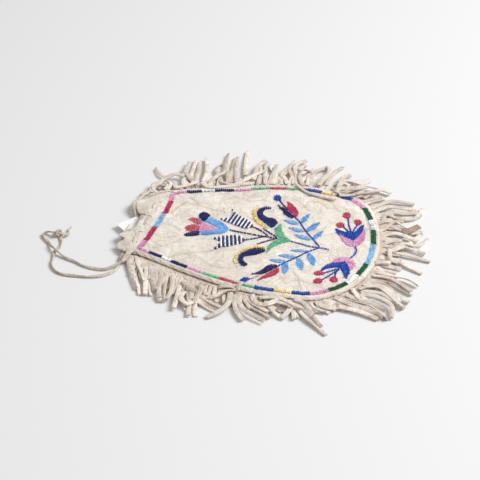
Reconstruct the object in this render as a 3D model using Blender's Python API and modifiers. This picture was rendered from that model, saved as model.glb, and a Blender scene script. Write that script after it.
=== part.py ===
"""Beaded hide medicine bag, lying on its back with its mouth toward -X.

Two hide panels are sewn together round the sides and the foot, with a fringed strip of hide
held in the seam. A thong is laced through slits round the mouth and its two ends trail away
on the floor to a knot. The front panel carries a lane of beads round its edge and a spray of
bead flowers. Sizes are in millimetres and are turned into metres as each mesh is made.
"""

import math
import random

import bpy
import bmesh
from mathutils import Vector

MM = 0.001

# The middle of the floor print, measured in the drawing frame used below.
ORIGIN_X = 113.33
ORIGIN_Y = 11.36

# The least room between two pieces that lie on each other
CLEAR = 0.35

# Drawstring thong, and the room it has beside the hide and above the floor
THONG = 2.4
LACE_ROOM = 0.4
FLOOR_ROOM = 0.2

# Hide, and the fringed strip held in the seam
HIDE = 1.2
FRINGE_THICK = 1.0
WELT_ROOM = 0.55
EDGE_LIFT = 1.5
SEAM_TOP = EDGE_LIFT + 2 * HIDE + FRINGE_THICK + 2 * WELT_ROOM
WELT_MID = EDGE_LIFT + HIDE + WELT_ROOM + FRINGE_THICK / 2
BACK_LIFT = FLOOR_ROOM + THONG + LACE_ROOM

# How the filled pouch swells above its seam, over what distance, and how it is wrinkled
CROWN_RISE = 4.3
CROWN_RUN = 16.0
MOUTH_RISE = 1.4
RIPPLE = 0.3

# Bead lane: its middle line on the front panel, far half and near half, mouth to foot.
LANE_WIDE = 5.8
FAR_LANE = [(0, 48), (26, 60), (58, 72), (91, 85), (125, 92), (155, 91.5), (175, 87),
            (189, 76), (199, 58), (206, 39), (211, 15)]
FOOT = (212, -1)
NEAR_LANE = [(0, -51), (26, -59), (58, -69), (91, -77), (125, -81), (155, -79), (174, -76),
             (188, -66), (199, -53), (207, -36), (211.5, -16)]
MOUTH_LANE = [(0, 48), (3.2, 30), (4.8, 10), (4.5, -12), (2.5, -33), (0, -51)]
SIDE_MARGIN = 9.5
FOOT_MARGIN = 7.0

# Mouth edges, near side to far side. The back panel stands out a little past the front one.
FRONT_MOUTH = [(-12, -62), (-21, -57), (-25, -49), (-19, -42), (-25, -38), (-28, -30),
               (-22, -20), (-20, -11), (-15, -2), (-20, 6), (-26, 14), (-26, 23), (-22, 31),
               (-18, 39), (-12, 47), (-6, 54)]
BACK_MOUTH = [(-12, -61), (-22, -54), (-27, -42), (-29, -28), (-29, -10), (-28, 8), (-28, 22),
              (-25, 34), (-19, 44), (-8, 54)]

# Where the thong is laced across the mouth, and the slits it runs through
FRONT_LACE_X = -7.0
BACK_LACE_X = -13.0
SLITS = [-46.0, -31.0, -19.0, -3.0, 8.0, 26.0]
SLIT_LONG = 7.4
SLIT_WIDE = 3.2
LACE_RISE = HIDE / 2 + LACE_ROOM + THONG / 2
LACE_RUN = 4.0
THONG_EXIT_Y = -64.5

# Fringe
WELT_IN = 5.0
WELT_OUT = 7.0
STRIP_PITCH = 4.6
STRIP_WIDE = 3.9
STRIP_LEVELS = [FRINGE_THICK / 2 + 0.15 + step * (FRINGE_THICK + CLEAR) for step in (0, 2, 1, 3)]
STRIP_LONG = [(-1.0, 44), (-0.5, 46), (-0.25, 38), (0.0, 34), (0.25, 38), (0.5, 42), (1.0, 42)]
# Where the strips point, in degrees from +X, along the seam from far corner (-1) to near (1)
STRIP_HEADING = [(-1.0, 138), (-0.96, 112), (-0.85, 104), (-0.6, 98), (-0.5, 82), (-0.42, 58),
                 (-0.34, 50), (-0.26, 26), (-0.16, 10), (-0.02, -2), (0.08, -16), (0.16, -28),
                 (0.25, -24), (0.36, -12), (0.44, -34), (0.55, -42), (0.62, -60), (0.72, -72),
                 (0.82, -82), (0.9, -72), (1.0, -64)]

# Bead work
BEAD_THICK = 1.3
LANE_GAP = 0.4

# Card tucked in the mouth
CARD_LONG = 23.0
CARD_WIDE = 16.0
CARD_THICK = 0.4
CARD_TURN = 37.0
CARD_AT = (-22.5, -12.5)

# Colours, as linear red, green and blue
HIDE_FRONT = (0.71, 0.62, 0.50)
HIDE_BACK = (0.66, 0.57, 0.45)
HIDE_FRINGE = (0.62, 0.53, 0.42)
HIDE_THONG = (0.55, 0.44, 0.32)
CARD = (0.85, 0.85, 0.83)
NAVY = (0.012, 0.017, 0.085)
WHITE = (0.84, 0.86, 0.88)
PINK = (0.72, 0.34, 0.52)
GREEN = (0.12, 0.42, 0.19)
DARK_GREEN = (0.008, 0.10, 0.055)
RED = (0.46, 0.03, 0.08)
BLUE = (0.02, 0.09, 0.48)
SKY = (0.36, 0.60, 0.87)
YELLOW = (0.76, 0.56, 0.18)
CORNFLOWER = (0.07, 0.24, 0.72)

# Bead lane colours from each mouth corner to the foot, with the rows of beads in each
LANE_SIDE = [("pink", 8), ("navy", 8), ("white", 8), ("navy", 10), ("pink", 10), ("green", 9),
             ("red", 9), ("green", 9), ("blue", 10), ("yellow", 9), ("blue", 9), ("pink", 10),
             ("dark_green", 11), ("white", 9), ("dark_green", 11), ("sky", 9)]
LANE_MOUTH = [("pink", 6), ("red", 14), ("sky", 14), ("red", 14), ("pink", 6)]
LANE_COLOURS = {"pink": PINK, "navy": NAVY, "white": WHITE, "green": GREEN, "red": RED,
                "blue": BLUE, "yellow": YELLOW, "dark_green": DARK_GREEN, "sky": SKY}


def smooth_line(points, steps=6):
    """Read a few chosen points as a smooth open line."""
    first = [2 * a - b for a, b in zip(points[0], points[1])]
    last = [2 * a - b for a, b in zip(points[-1], points[-2])]
    ext = [first] + [list(p) for p in points] + [last]
    line = []
    for i in range(1, len(ext) - 2):
        a, b, c, d = ext[i - 1:i + 3]
        for k in range(steps):
            u = k / steps
            line.append(tuple(
                0.5 * (2 * b[j] + (c[j] - a[j]) * u
                       + (2 * a[j] - 5 * b[j] + 4 * c[j] - d[j]) * u * u
                       + (3 * b[j] - a[j] - 3 * c[j] + d[j]) * u ** 3)
                for j in range(len(b))))
    line.append(tuple(points[-1]))
    return line


def ease(u):
    """Go from 0 to 1 without a corner at either end."""
    u = min(max(u, 0.0), 1.0)
    return u * u * (3 - 2 * u)


def read_table(table, value):
    """Read a short table of pairs between its entries."""
    for (a, va), (b, vb) in zip(table, table[1:]):
        if value <= b:
            return va + (vb - va) * max(0.0, value - a) / (b - a)
    return table[-1][1]


class Track:
    """A line on the plan that can be read by distance, with its outward side."""

    def __init__(self, line):
        self.line = line
        self.far = [0.0]
        for a, b in zip(line, line[1:]):
            self.far.append(self.far[-1] + math.dist(a, b))
        self.length = self.far[-1]

    def at(self, s, out=0.0):
        """Point at distance s, moved sideways by out (left of the way it runs)."""
        k = 0
        while k < len(self.far) - 2 and s > self.far[k + 1]:
            k += 1
        a, b = self.line[k], self.line[k + 1]
        step = self.far[k + 1] - self.far[k]
        u = (s - self.far[k]) / step
        dx, dy = (b[0] - a[0]) / step, (b[1] - a[1]) / step
        return (a[0] + dx * step * u - dy * out, a[1] + dy * step * u + dx * out)


LANE_TRACK = Track(smooth_line(FAR_LANE + [FOOT] + NEAR_LANE[::-1], 8))
FOOT_AT = LANE_TRACK.far[8 * len(FAR_LANE)]


def lane_distance(t):
    """Distance along the lane for t, -1 at the far mouth corner, 0 at the foot, 1 near."""
    if t <= 0:
        return (1 + t) * FOOT_AT
    return FOOT_AT + t * (LANE_TRACK.length - FOOT_AT)


def edge_at(t, out=0.0):
    """Point on the sewn edge of the panels."""
    away = ease((abs(t) - 0.12) / 0.38)
    margin = FOOT_MARGIN + (SIDE_MARGIN - FOOT_MARGIN) * away
    return LANE_TRACK.at(lane_distance(t), margin + out)


EDGE_COUNT = 52
SEWN_EDGE = [edge_at(-1 + 2 * i / EDGE_COUNT) for i in range(EDGE_COUNT + 1)]
SIDE_LINE = [FRONT_MOUTH[-1]] + SEWN_EDGE + FRONT_MOUTH[:2]


def side_distance(x, y):
    """Distance in from the sewn sides and the sides of the mouth band."""
    best = 1e9
    for (ax, ay), (bx, by) in zip(SIDE_LINE, SIDE_LINE[1:]):
        dx, dy = bx - ax, by - ay
        u = ((x - ax) * dx + (y - ay) * dy) / (dx * dx + dy * dy)
        u = min(max(u, 0.0), 1.0)
        best = min(best, math.hypot(x - ax - u * dx, y - ay - u * dy))
    return best


def front_top(x, y):
    """Height of the outer face of the front panel."""
    rise = 1 - math.exp(-side_distance(x, y) / CROWN_RUN)
    wave = math.sin(0.085 * x + 0.03 * y + 1.0) * math.cos(0.055 * y - 0.02 * x)
    mouth = MOUTH_RISE * ease((24 - x) / 30)
    return SEAM_TOP + (CROWN_RISE + mouth + RIPPLE * wave) * rise


def back_bottom(x, y):
    """Height of the under face of the back panel, lifted at the seam and for the thong."""
    across = ease((53 - abs(y + 3)) / 9)
    edge = EDGE_LIFT * ease(1 - side_distance(x, y) / 9) * ease((x + 2) / 12)
    return BACK_LIFT * ease((6 - x) / 10) * across + edge


def clear_scene():
    """Start from an empty scene."""
    for obj in list(bpy.data.objects):
        bpy.data.objects.remove(obj, do_unlink=True)


def finish_of(name, colour, rough):
    """A plain Principled material."""
    mat = bpy.data.materials.new(name)
    mat.use_nodes = True
    shader = mat.node_tree.nodes["Principled BSDF"]
    shader.inputs["Base Color"].default_value = (*colour, 1.0)
    shader.inputs["Roughness"].default_value = rough
    mat.diffuse_color = (*colour, 1.0)
    return mat


def world(x, y, z):
    """Drawing frame in millimetres to the part's frame in metres."""
    return Vector(((x - ORIGIN_X) * MM, (y - ORIGIN_Y) * MM, z * MM))


def mesh_object(name, verts, faces, group):
    """Make an object from points in the drawing frame."""
    mesh = bpy.data.meshes.new(name)
    mesh.from_pydata([world(*v) for v in verts], [], faces)
    work = bmesh.new()
    work.from_mesh(mesh)
    bmesh.ops.recalc_face_normals(work, faces=work.faces)
    work.to_mesh(mesh)
    work.free()
    obj = bpy.data.objects.new(name, mesh)
    group.objects.link(obj)
    return obj


def face_up(obj):
    """Turn an open sheet so that its faces look up."""
    if obj.data.polygons[0].normal.z < 0:
        obj.data.flip_normals()


def thicken(obj, thick, side):
    """Give a sheet its thickness: side 1 grows up, -1 grows down, 0 both ways."""
    mod = obj.modifiers.new("Thickness", "SOLIDIFY")
    mod.thickness = thick * MM
    mod.offset = side
    mod.use_even_offset = False


def boolean(obj, other, operation, name, overlaps=False):
    """Exact Boolean against another mesh; overlaps where one of them crosses itself."""
    mod = obj.modifiers.new(name, "BOOLEAN")
    mod.operation = operation
    mod.solver = "EXACT"
    mod.use_self = overlaps
    mod.object = other


def prism(name, outlines, low, high, group):
    """Upright solids on one or more closed outlines, each a little taller than the last."""
    verts, faces = [], []
    for k, outline in enumerate(outlines):
        n = len(outline)
        base = len(verts)
        verts += [(x, y, low - 0.13 * k) for x, y in outline]
        verts += [(x, y, high + 0.13 * k) for x, y in outline]
        faces.append([base + i for i in range(n)][::-1])
        faces.append([base + n + i for i in range(n)])
        for i in range(n):
            j = (i + 1) % n
            faces.append([base + i, base + j, base + n + j, base + n + i])
    return mesh_object(name, verts, faces, group)


def ring_sheet(name, outline, fractions, height, group):
    """A sheet of rings from an outline in toward a line down the middle."""
    xs = [p[0] for p in outline]
    low, high = min(xs), max(xs)
    verts, faces = [], []
    count = len(outline)
    for frac in fractions:
        fade = ease(frac / 0.2)
        for i, (x, y) in enumerate(outline):
            if i > EDGE_COUNT:
                x += (10 * (abs(y + 4) / 60) ** 4 - 22 - x) * fade
            mid = 14 + (168 - 14) * max(0.0, x - low) / (high - low)
            px, py = x + (mid - x) * frac, y * (1 - frac)
            verts.append((px, py, height(px, py)))
    for r in range(len(fractions) - 1):
        for i in range(count):
            j = (i + 1) % count
            a, b = r * count, (r + 1) * count
            faces.append([a + i, a + j, b + j, b + i])
    obj = mesh_object(name, verts, faces, group)
    work = bmesh.new()
    work.from_mesh(obj.data)
    inner = [e for e in work.edges if e.is_boundary and min(v.index for v in e.verts)
             >= (len(fractions) - 1) * count]
    cap = bmesh.ops.contextual_create(work, geom=inner)
    bmesh.ops.triangulate(work, faces=cap["faces"], ngon_method="BEAUTY")
    bmesh.ops.recalc_face_normals(work, faces=work.faces)
    work.to_mesh(obj.data)
    work.free()
    face_up(obj)
    return obj


def panel_outline(mouth, steps):
    """Closed outline of a panel: the sewn edge, then the mouth edge back to the start."""
    return SEWN_EDGE + smooth_line(mouth, steps)


def ribbon(points, widths, steps=2):
    """Closed outline of a strip that follows a line and changes width along it."""
    rows = smooth_line([(*p, w) for p, w in zip(points, widths)], steps)
    left, right = [], []
    for i, (x, y, w) in enumerate(rows):
        a = rows[max(i - 1, 0)]
        b = rows[min(i + 1, len(rows) - 1)]
        run = math.dist(a[:2], b[:2])
        nx, ny = -(b[1] - a[1]) / run, (b[0] - a[0]) / run
        half = max(w, 0.8) / 2
        left.append((x + nx * half, y + ny * half))
        right.append((x - nx * half, y - ny * half))
    return left + right[::-1]


def leaf(base, tip, wide, foot=1.4):
    """A slim leaf between two points."""
    lean = [(a * 0.45 + b * 0.55) for a, b in zip(base, tip)]
    return ribbon([base, lean, tip], [foot, wide, 0.9])


def disc(centre, across, along, count=12):
    """Closed outline of a round or oval spot."""
    return [(centre[0] + across * math.cos(2 * math.pi * i / count),
             centre[1] + along * math.sin(2 * math.pi * i / count)) for i in range(count)]


def lane_piece(track, start, stop):
    """Outline of one colour of a bead lane, between two distances."""
    count = max(2, round((stop - start) / 7) + 1)
    marks = [start + (stop - start) * i / (count - 1) for i in range(count)]
    half = LANE_WIDE / 2
    left = [track.at(s, half) for s in marks]
    right = [track.at(s, -half) for s in marks]
    return left + right[::-1]


def tube(name, route, wide, group, mat):
    """A closed round tube along a route in the drawing frame."""
    data = bpy.data.curves.new(name, "CURVE")
    data.dimensions = "3D"
    data.bevel_depth = wide / 2 * MM
    data.bevel_resolution = 2
    data.use_fill_caps = True
    spline = data.splines.new("POLY")
    spline.points.add(len(route) - 1)
    for point, place in zip(spline.points, route):
        point.co = (*world(*place), 1.0)
    data.materials.append(mat)
    obj = bpy.data.objects.new(name, data)
    group.objects.link(obj)
    return obj


def lacing(y):
    """Which side of a panel the thong is on: 1 outside, -1 inside."""
    side = -1.0
    for i in range(0, len(SLITS), 2):
        into = ease((y - SLITS[i] + LACE_RUN) / (2 * LACE_RUN))
        out = ease((y - SLITS[i + 1] + LACE_RUN) / (2 * LACE_RUN))
        side += 2 * (into - out)
    return side


def lace_route():
    """Route of the laced part, out of the near corner, round the mouth and out again."""
    marks = []
    for y in SLITS:
        marks += [y - 4, y - 2, y, y + 2, y + 4]
    front = []
    back = []
    for y in marks:
        front.append((FRONT_LACE_X, y,
                      front_top(FRONT_LACE_X, y) - HIDE / 2 + LACE_RISE * lacing(y)))
        back.append((BACK_LACE_X, y,
                     back_bottom(BACK_LACE_X, y) + HIDE / 2 - LACE_RISE * lacing(y)))
    start = [(FRONT_LACE_X, THONG_EXIT_Y, 2.7), (FRONT_LACE_X, -61.5, 2.8),
             (FRONT_LACE_X, -58, 3.7), (FRONT_LACE_X, -54, 4.9)]
    turn = [(-7, 35, 6.8), (-7.2, 39, 6.4), (-8.2, 42, 6.0), (-10, 43.4, 5.8),
            (-11.8, 42, 5.7), (-12.8, 39, 5.7), (-13, 35, 5.8)]
    stop = [(BACK_LACE_X, -54, 4.3), (BACK_LACE_X, -58, 3.4), (BACK_LACE_X, -61.5, 2.8),
            (BACK_LACE_X, THONG_EXIT_Y, 2.7)]
    return start + front + turn + back[::-1] + stop


def knot_turns():
    """Strand B goes once and a quarter round strand A to make the knot."""
    turns = []
    for i in range(11):
        angle = math.radians(-90 + 36 * i)
        turns.append((-81.5 - 0.48 * i, -44 + 3.1 * math.cos(angle), 4.6 + 3.1 * math.sin(angle)))
    return turns


STRAND_A = [(-7, -64.8, 2.7), (-7.6, -69, 3.8), (-10, -73.5, 4.4), (-14.5, -78.5, 3.2),
            (-24, -85, 1.4), (-41, -84, 1.4), (-56, -79, 1.4), (-67, -75, 2.2), (-76.5, -70, 4.4),
            (-83, -64, 3.0), (-87.5, -59, 1.5), (-93, -53.5, 1.4), (-98, -49, 1.4),
            (-99, -44.5, 1.6), (-95.5, -42.3, 2.8), (-91, -43.4, 4.2), (-86, -44, 4.6),
            (-80, -44, 4.6), (-75.5, -42.5, 3.8), (-76, -36.5, 2.0), (-78.5, -32, 1.4),
            (-78, -27, 1.4)]
STRAND_B = [(-13, -64.8, 2.7), (-12.6, -69, 1.8), (-11, -75, 1.4), (-12, -83, 1.4),
            (-19, -93, 1.4), (-32, -99, 1.4), (-46, -101.5, 1.4), (-61, -100.5, 1.4),
            (-71, -92, 1.4), (-75, -80, 1.4), (-77, -70, 1.4), (-75.5, -62, 1.4), (-77, -54, 1.4),
            (-80, -48.5, 1.4)]


def strip_path(t, level, shake):
    """Middle line of one fringe strip from the welt's outer edge to its tip."""
    root = edge_at(t, WELT_OUT)
    away = edge_at(t, WELT_OUT + 1)
    nx, ny = away[0] - root[0], away[1] - root[1]
    heading = math.radians(read_table(STRIP_HEADING, t) + 5 * shake.uniform(-1, 1))
    long = read_table(STRIP_LONG, t) * shake.uniform(0.88, 1.1)
    bend = (root[0] + nx * 0.42 * long, root[1] + ny * 0.42 * long)
    tip = (root[0] + nx * 9 + (long - 9) * math.cos(heading),
           root[1] + ny * 9 + (long - 9) * math.sin(heading))
    curl = shake.uniform(0, 6) if level == max(STRIP_LEVELS) else 0.0
    path = []
    for u in (0.0, 0.2, 0.46, 0.73, 1.0):
        x, y = (((1 - u) ** 2 * root[i] + 2 * u * (1 - u) * bend[i] + u * u * tip[i])
                for i in (0, 1))
        z = WELT_MID + (level - WELT_MID) * ease(u / 0.2) + curl * u ** 3
        path.append((x, y, z))
    return path


def fringe_section(name, start, stop, first, mat, group):
    """One length of fringed hide: an uncut welt held in the seam with its cut strips."""
    length = LANE_TRACK.length + 2 * math.pi * (SIDE_MARGIN + WELT_OUT) * 0.55
    step = 2.0 * STRIP_PITCH / length
    count = int((stop - start) / step)
    shake = random.Random(first)
    verts, faces = [], []
    before = None
    for k in range(count):
        t = start + (stop - start) * (k + 0.5) / count
        half = STRIP_WIDE / STRIP_PITCH * 0.5 * (stop - start) / count
        level = STRIP_LEVELS[(first + k) % len(STRIP_LEVELS)]
        base = len(verts)
        for side in (-half, half):
            verts.append((*edge_at(t + side, -WELT_IN), WELT_MID))
            verts.append((*edge_at(t + side, WELT_OUT), WELT_MID))
        faces.append([base, base + 1, base + 3, base + 2])
        if before is not None:
            faces.append([before + 2, before + 3, base + 1, base])
        before = base
        path = strip_path(t, level, shake)
        left, right = base + 1, base + 3
        for i in range(1, len(path)):
            a = path[i - 1]
            b = path[min(i + 1, len(path) - 1)]
            run = math.dist(a[:2], b[:2])
            sx, sy = -(b[1] - a[1]) / run, (b[0] - a[0]) / run
            wide = STRIP_WIDE / 2 * (1.0 if i < len(path) - 1 else 0.72)
            x, y, z = path[i]
            here = len(verts)
            verts.append((x + sx * wide, y + sy * wide, z))
            verts.append((x - sx * wide, y - sy * wide, z))
            faces.append([left, here, here + 1, right])
            left, right = here, here + 1
    obj = mesh_object(name, verts, faces, group)
    face_up(obj)
    thicken(obj, FRINGE_THICK, 0.0)
    obj.data.materials.append(mat)
    return count


MOTIF = {
    "tulip_blue_petals": (CORNFLOWER, [
        ribbon([(73, 0), (65.5, 3.6), (57.7, 8), (50, 12)], [4, 7, 8, 6]),
        disc((43.8, 13.9), 6.5, 7.5),
        ribbon([(72.2, -0.8), (67, -4.5), (57.8, -10.5), (47.3, -15.5), (41, -17.6), (36.3, -20.8)],
               [3, 5.5, 6, 6, 4.5, 1.5])]),
    "tulip_pink_heart": (PINK, [
        ribbon([(64.5, -1.4), (56, -1.8), (48, -4), (46, -4.4)], [1.2, 6, 11.5, 13.5])]),
    "tulip_red_petals": (RED, [
        ribbon([(41, -4.2), (40.4, 0.6), (36.6, 4.8), (31, 6)], [5.5, 6, 5.5, 1.2]),
        ribbon([(44.4, -6), (38, -7.5), (32, -9.4)], [9, 8, 2])]),
    "striped_leaves_and_stems": (NAVY, [
        ribbon([(93, 11), (84, 14.5), (75, 20.5), (67.5, 31)], [3, 13, 8, 1.5]),
        ribbon([(85.2, 12.6), (73, 15.2), (63, 14.2)], [5, 5, 1.5]),
        ribbon([(92, -13.3), (83, -17.5), (75, -25), (68.3, -36.8)], [3, 12, 7, 1.5]),
        ribbon([(82, -15.5), (72.6, -16.5), (63, -19)], [8, 5, 1.5]),
        ribbon([(91.5, 12), (100.6, 6.3), (110.3, -0.1), (113, -1.6)], [1.8] * 4),
        ribbon([(90.5, -14), (99.9, -8.5), (110.8, -1.8), (113, -1)], [1.8] * 4),
        ribbon([(76.6, -0.6), (85.1, -1.6), (97.9, -1.5), (109.5, -1.2), (120.4, -1.8)], [1.8] * 5),
        ribbon([(104.4, 10.6), (113.1, 4.2), (119.5, -1.4)], [1.8] * 3),
        ribbon([(106, -16.3), (112.9, -9.6), (119.5, -2.2)], [1.8] * 3)]),
    "calyx_green": (GREEN, [
        ribbon([(135, -3.2), (125.5, 1.6), (118.6, 11.2), (118.2, 21.9)], [1.5, 8, 9, 1.5]),
        ribbon([(135, -3.2), (125.9, -7.1), (120.4, -15.6), (118.6, -27.8)], [1.5, 8, 7, 1.5])]),
    "hook_far": (NAVY, [
        ribbon([(102.5, 46.8), (96, 44), (94, 37), (98.5, 28), (106.5, 22.5), (113, 23)],
               [2, 6, 6, 7, 15, 8]),
        ribbon([(90.8, 45.3), (87.8, 37.9), (93, 26.4), (100.5, 17.6), (109.1, 12.5)],
               [3, 6.5, 7, 5, 1.8])]),
    "hook_near": (NAVY, [
        ribbon([(106.4, -50.3), (101.3, -51.5), (97, -45), (98, -36), (105, -30), (114, -25)],
               [3, 6, 7, 6.5, 6, 5]),
        ribbon([(95.3, -51.8), (92.4, -43.4), (94.1, -32.7), (101.5, -24.7), (112.6, -19.8)],
               [3, 5, 6, 5.5, 1.8])]),
    "leaf_sprigs": (CORNFLOWER, [
        ribbon([(130.8, 34.2), (138.6, 23.3), (149.5, 11.2), (158.9, 0.8), (163, -6.7)], [1.6] * 5),
        ribbon([(136, -44.3), (141.5, -36), (151.7, -21), (157.6, -12.6), (163, -6.7)], [1.6] * 5),
        ribbon([(136.4, -3.7), (148.8, -5.6), (163, -6.7), (173.3, -7.1)], [1.6] * 4),
        leaf((134, 29.7), (140.2, 47), 6), leaf((142.2, 19), (154.3, 36), 6),
        leaf((151, 9.6), (162.7, 21.3), 5.5), leaf((134.6, 29), (120, 30.1), 5.2),
        leaf((143.5, 17.6), (127.4, 18.8), 5.2), leaf((151.5, 9), (135.2, 9.8), 5),
        leaf((139.5, -39), (142.8, -54.6), 6.5), leaf((147, -28), (156.2, -44.6), 7),
        leaf((154.2, -17.4), (165.3, -35.7), 7), leaf((139.5, -39), (123.6, -38.1), 5.2),
        leaf((146.5, -28.6), (130.2, -28.6), 5.2), leaf((154.5, -17), (138.3, -17.3), 4.6)]),
    "bud_sepal_far": (NAVY, [
        ribbon([(129, 36.8), (119.8, 43), (107.2, 53.8)], [2, 8, 1.2]),
        ribbon([(120.6, 44.6), (117.4, 50), (107, 62.3), (103.5, 66.7)], [1.6] * 4),
        disc((103.5, 66.7), 3.2, 3.2)]),
    "bud_sepal_near": (NAVY, [
        ribbon([(133.5, -47.2), (125.5, -52.5), (113.6, -65.5)], [2, 7, 1.2]),
        ribbon([(124, -55.5), (121.6, -61.6), (115.2, -69.6), (111.8, -72.4)], [1.6] * 4),
        disc((111.8, -72.6), 2.8, 2.8)]),
    "bud_petal_far": (RED, [ribbon([(130.8, 42), (124.6, 53.4), (114.8, 64)], [3.5, 8.5, 1.2])]),
    "bud_petal_near": (RED, [ribbon([(136, -51.7), (130.2, -59.4), (122.5, -71.9)],
                                    [3.5, 6, 1.2])]),
    "flower_pink_far": (PINK, [
        ribbon([(178.4, 17), (184.5, 10.8), (192.5, 8), (198.9, 14.6), (200, 27)],
               [2, 6, 8, 6.4, 3])]),
    "flower_pink_near": (PINK, [
        ribbon([(180.5, -27), (184.5, -20.2), (191.5, -17.6), (198.9, -23.2), (200.8, -34)],
               [2.5, 5.5, 6.5, 6, 3])]),
    "flower_blue_far": (BLUE, [
        leaf((192.4, 15.6), (170.7, 28.1), 7.4, 3), leaf((191.6, 15.6), (195.4, 41.7), 6.4, 3),
        ribbon([(191.5, 18), (184.5, 33), (178.5, 49), (176.4, 54.9)], [1.6] * 4),
        ribbon([(189, 24), (182, 30), (173.6, 36.5)], [1.6] * 3),
        ribbon([(188.6, 24.5), (188.2, 33), (188.6, 45.4)], [1.6] * 3),
        disc((176.4, 54.9), 3.2, 3.2), disc((173.6, 36.5), 2.2, 2.2), disc((188.6, 45.4), 3, 3)]),
    "flower_blue_near": (BLUE, [
        leaf((191.4, -24.6), (173.7, -42.3), 7, 3), leaf((190.4, -24.6), (197.2, -46.8), 7, 3),
        ribbon([(190.2, -28), (185.4, -39.5), (178, -45.2), (173.2, -46.6)], [1.6] * 4),
        ribbon([(190.2, -29), (185.8, -42), (178, -53.8), (175.3, -57.3)], [1.6] * 4),
        ribbon([(190.2, -29), (188.6, -39), (188, -50.9)], [1.6] * 3),
        disc((173.2, -46.6), 3, 3), disc((175.3, -57.3), 3, 3), disc((188, -50.9), 3, 3)]),
    "flower_link": (BLUE, [
        ribbon([(195.3, 3.8), (197.9, -0.8), (197.5, -8.6), (195.5, -14.6)], [1.6] * 4)]),
}


def build_panels(group, cutters, mats):
    """The two hide panels, with the slits the thong runs through."""
    outline = panel_outline(FRONT_MOUTH, 2)
    front = ring_sheet("front_panel", outline, (0, 0.045, 0.11, 0.2, 0.34, 0.55, 0.8),
                       front_top, group)
    thicken(front, HIDE, -1.0)
    back = ring_sheet("back_panel", panel_outline(BACK_MOUTH, 2), (0, 0.12, 0.3, 0.55, 0.8),
                      back_bottom, group)
    thicken(back, HIDE, 1.0)
    for panel, at_x, low, high in ((front, FRONT_LACE_X, 4, 16), (back, BACK_LACE_X, -2, 7)):
        half, wide = SLIT_LONG / 2, SLIT_WIDE / 2
        boxes = [[(at_x - wide, y - half), (at_x + wide, y - half), (at_x + wide, y + half),
                  (at_x - wide, y + half)] for y in SLITS]
        cutter = prism(panel.name + "_slit_cutter", boxes, low, high, cutters)
        boolean(panel, cutter, "DIFFERENCE", "Slits")
        panel.data.materials.append(mats[panel.name])


def build_beads(group, cutters):
    """Every colour of bead work, cut from one blanket that follows the front panel."""
    blanket = ring_sheet("bead_blanket", panel_outline(FRONT_MOUTH, 2),
                         (0.045, 0.11, 0.2, 0.34, 0.55, 0.8),
                         lambda x, y: front_top(x, y) + CLEAR, cutters)
    thicken(blanket, BEAD_THICK, 1.0)
    fields = []
    half_gap = LANE_GAP / 2
    mouth = Track(smooth_line(MOUTH_LANE, 6))
    rows = sum(n for _, n in LANE_SIDE)
    mouth_rows = sum(n for _, n in LANE_MOUTH)
    corners = {"far": [], "near": []}
    done = 0
    for i, (colour, count) in enumerate(LANE_MOUTH):
        start = mouth.length * done / mouth_rows
        done += count
        stop = mouth.length * done / mouth_rows
        if i == 0:
            corners["far"].append(lane_piece(mouth, -LANE_WIDE / 2, stop - half_gap))
        elif i == len(LANE_MOUTH) - 1:
            corners["near"].append(lane_piece(mouth, start + half_gap,
                                              mouth.length + LANE_WIDE / 2))
        else:
            fields.append((f"mouth_lane_{i}_{colour}", colour,
                           [lane_piece(mouth, start + half_gap, stop - half_gap)]))
    for side, turn in (("far", -1), ("near", 1)):
        done = 0
        for i, (colour, count) in enumerate(LANE_SIDE[:-1]):
            begin = lane_distance(turn * (1 - done / rows))
            done += count
            end = lane_distance(turn * (1 - done / rows))
            low, high = min(begin, end), max(begin, end)
            if i == 0:
                low = -LANE_WIDE / 2 if side == "far" else low + half_gap
                high = high - half_gap if side == "far" else high + LANE_WIDE / 2
                corners[side].append(lane_piece(LANE_TRACK, low, high))
                fields.append((f"{side}_lane_{i}_{colour}", colour, corners[side]))
            else:
                fields.append((f"{side}_lane_{i:02d}_{colour}", colour,
                               [lane_piece(LANE_TRACK, low + half_gap, high - half_gap)]))
    centre = LANE_SIDE[-1][1] / rows
    fields.append(("foot_lane_sky", "sky",
                   [lane_piece(LANE_TRACK, lane_distance(-centre) + half_gap,
                               lane_distance(centre) - half_gap)]))
    for name, colour, outlines in fields:
        add_field(name, LANE_COLOURS[colour], outlines, blanket, group)
    for name, (colour, outlines) in MOTIF.items():
        add_field(name, colour, outlines, blanket, group)


def add_field(name, colour, outlines, blanket, group):
    """One raised field of beads of a single colour."""
    obj = prism("beads_" + name, outlines, 2, 18, group)
    boolean(obj, blanket, "INTERSECT", "Bead blanket", len(outlines) > 1)
    obj.data.materials.append(finish_of("beads_" + name, colour, 0.25))


def build_thong(group, mat):
    """The drawstring: the laced part and its two loose strands."""
    tube("drawstring_laced", lace_route(), THONG, group, mat("drawstring_laced"))
    tube("drawstring_strand_a", smooth_line(STRAND_A, 2), THONG, group,
         mat("drawstring_strand_a"))
    tube("drawstring_strand_b", smooth_line(STRAND_B, 2) + knot_turns()
         + [(-87.6, -41.6, 1.7), (-88.4, -38.6, 1.4)], THONG, group, mat("drawstring_strand_b"))


def build_card(group):
    """A small bare card tucked in the mouth, lying on the back panel."""
    turn = math.radians(CARD_TURN)
    along, across = (math.cos(turn), math.sin(turn)), (math.sin(turn), -math.cos(turn))
    corners = [(CARD_AT[0] + a * CARD_LONG / 2 * along[0] + b * CARD_WIDE / 2 * across[0],
                CARD_AT[1] + a * CARD_LONG / 2 * along[1] + b * CARD_WIDE / 2 * across[1])
               for a, b in ((-1, -1), (1, -1), (1, 1), (-1, 1))]
    low = BACK_LIFT + HIDE + CLEAR
    card = prism("paper_card", [corners], low, low + CARD_THICK, group)
    card.data.materials.append(finish_of("paper_card", CARD, 0.8))


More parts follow.
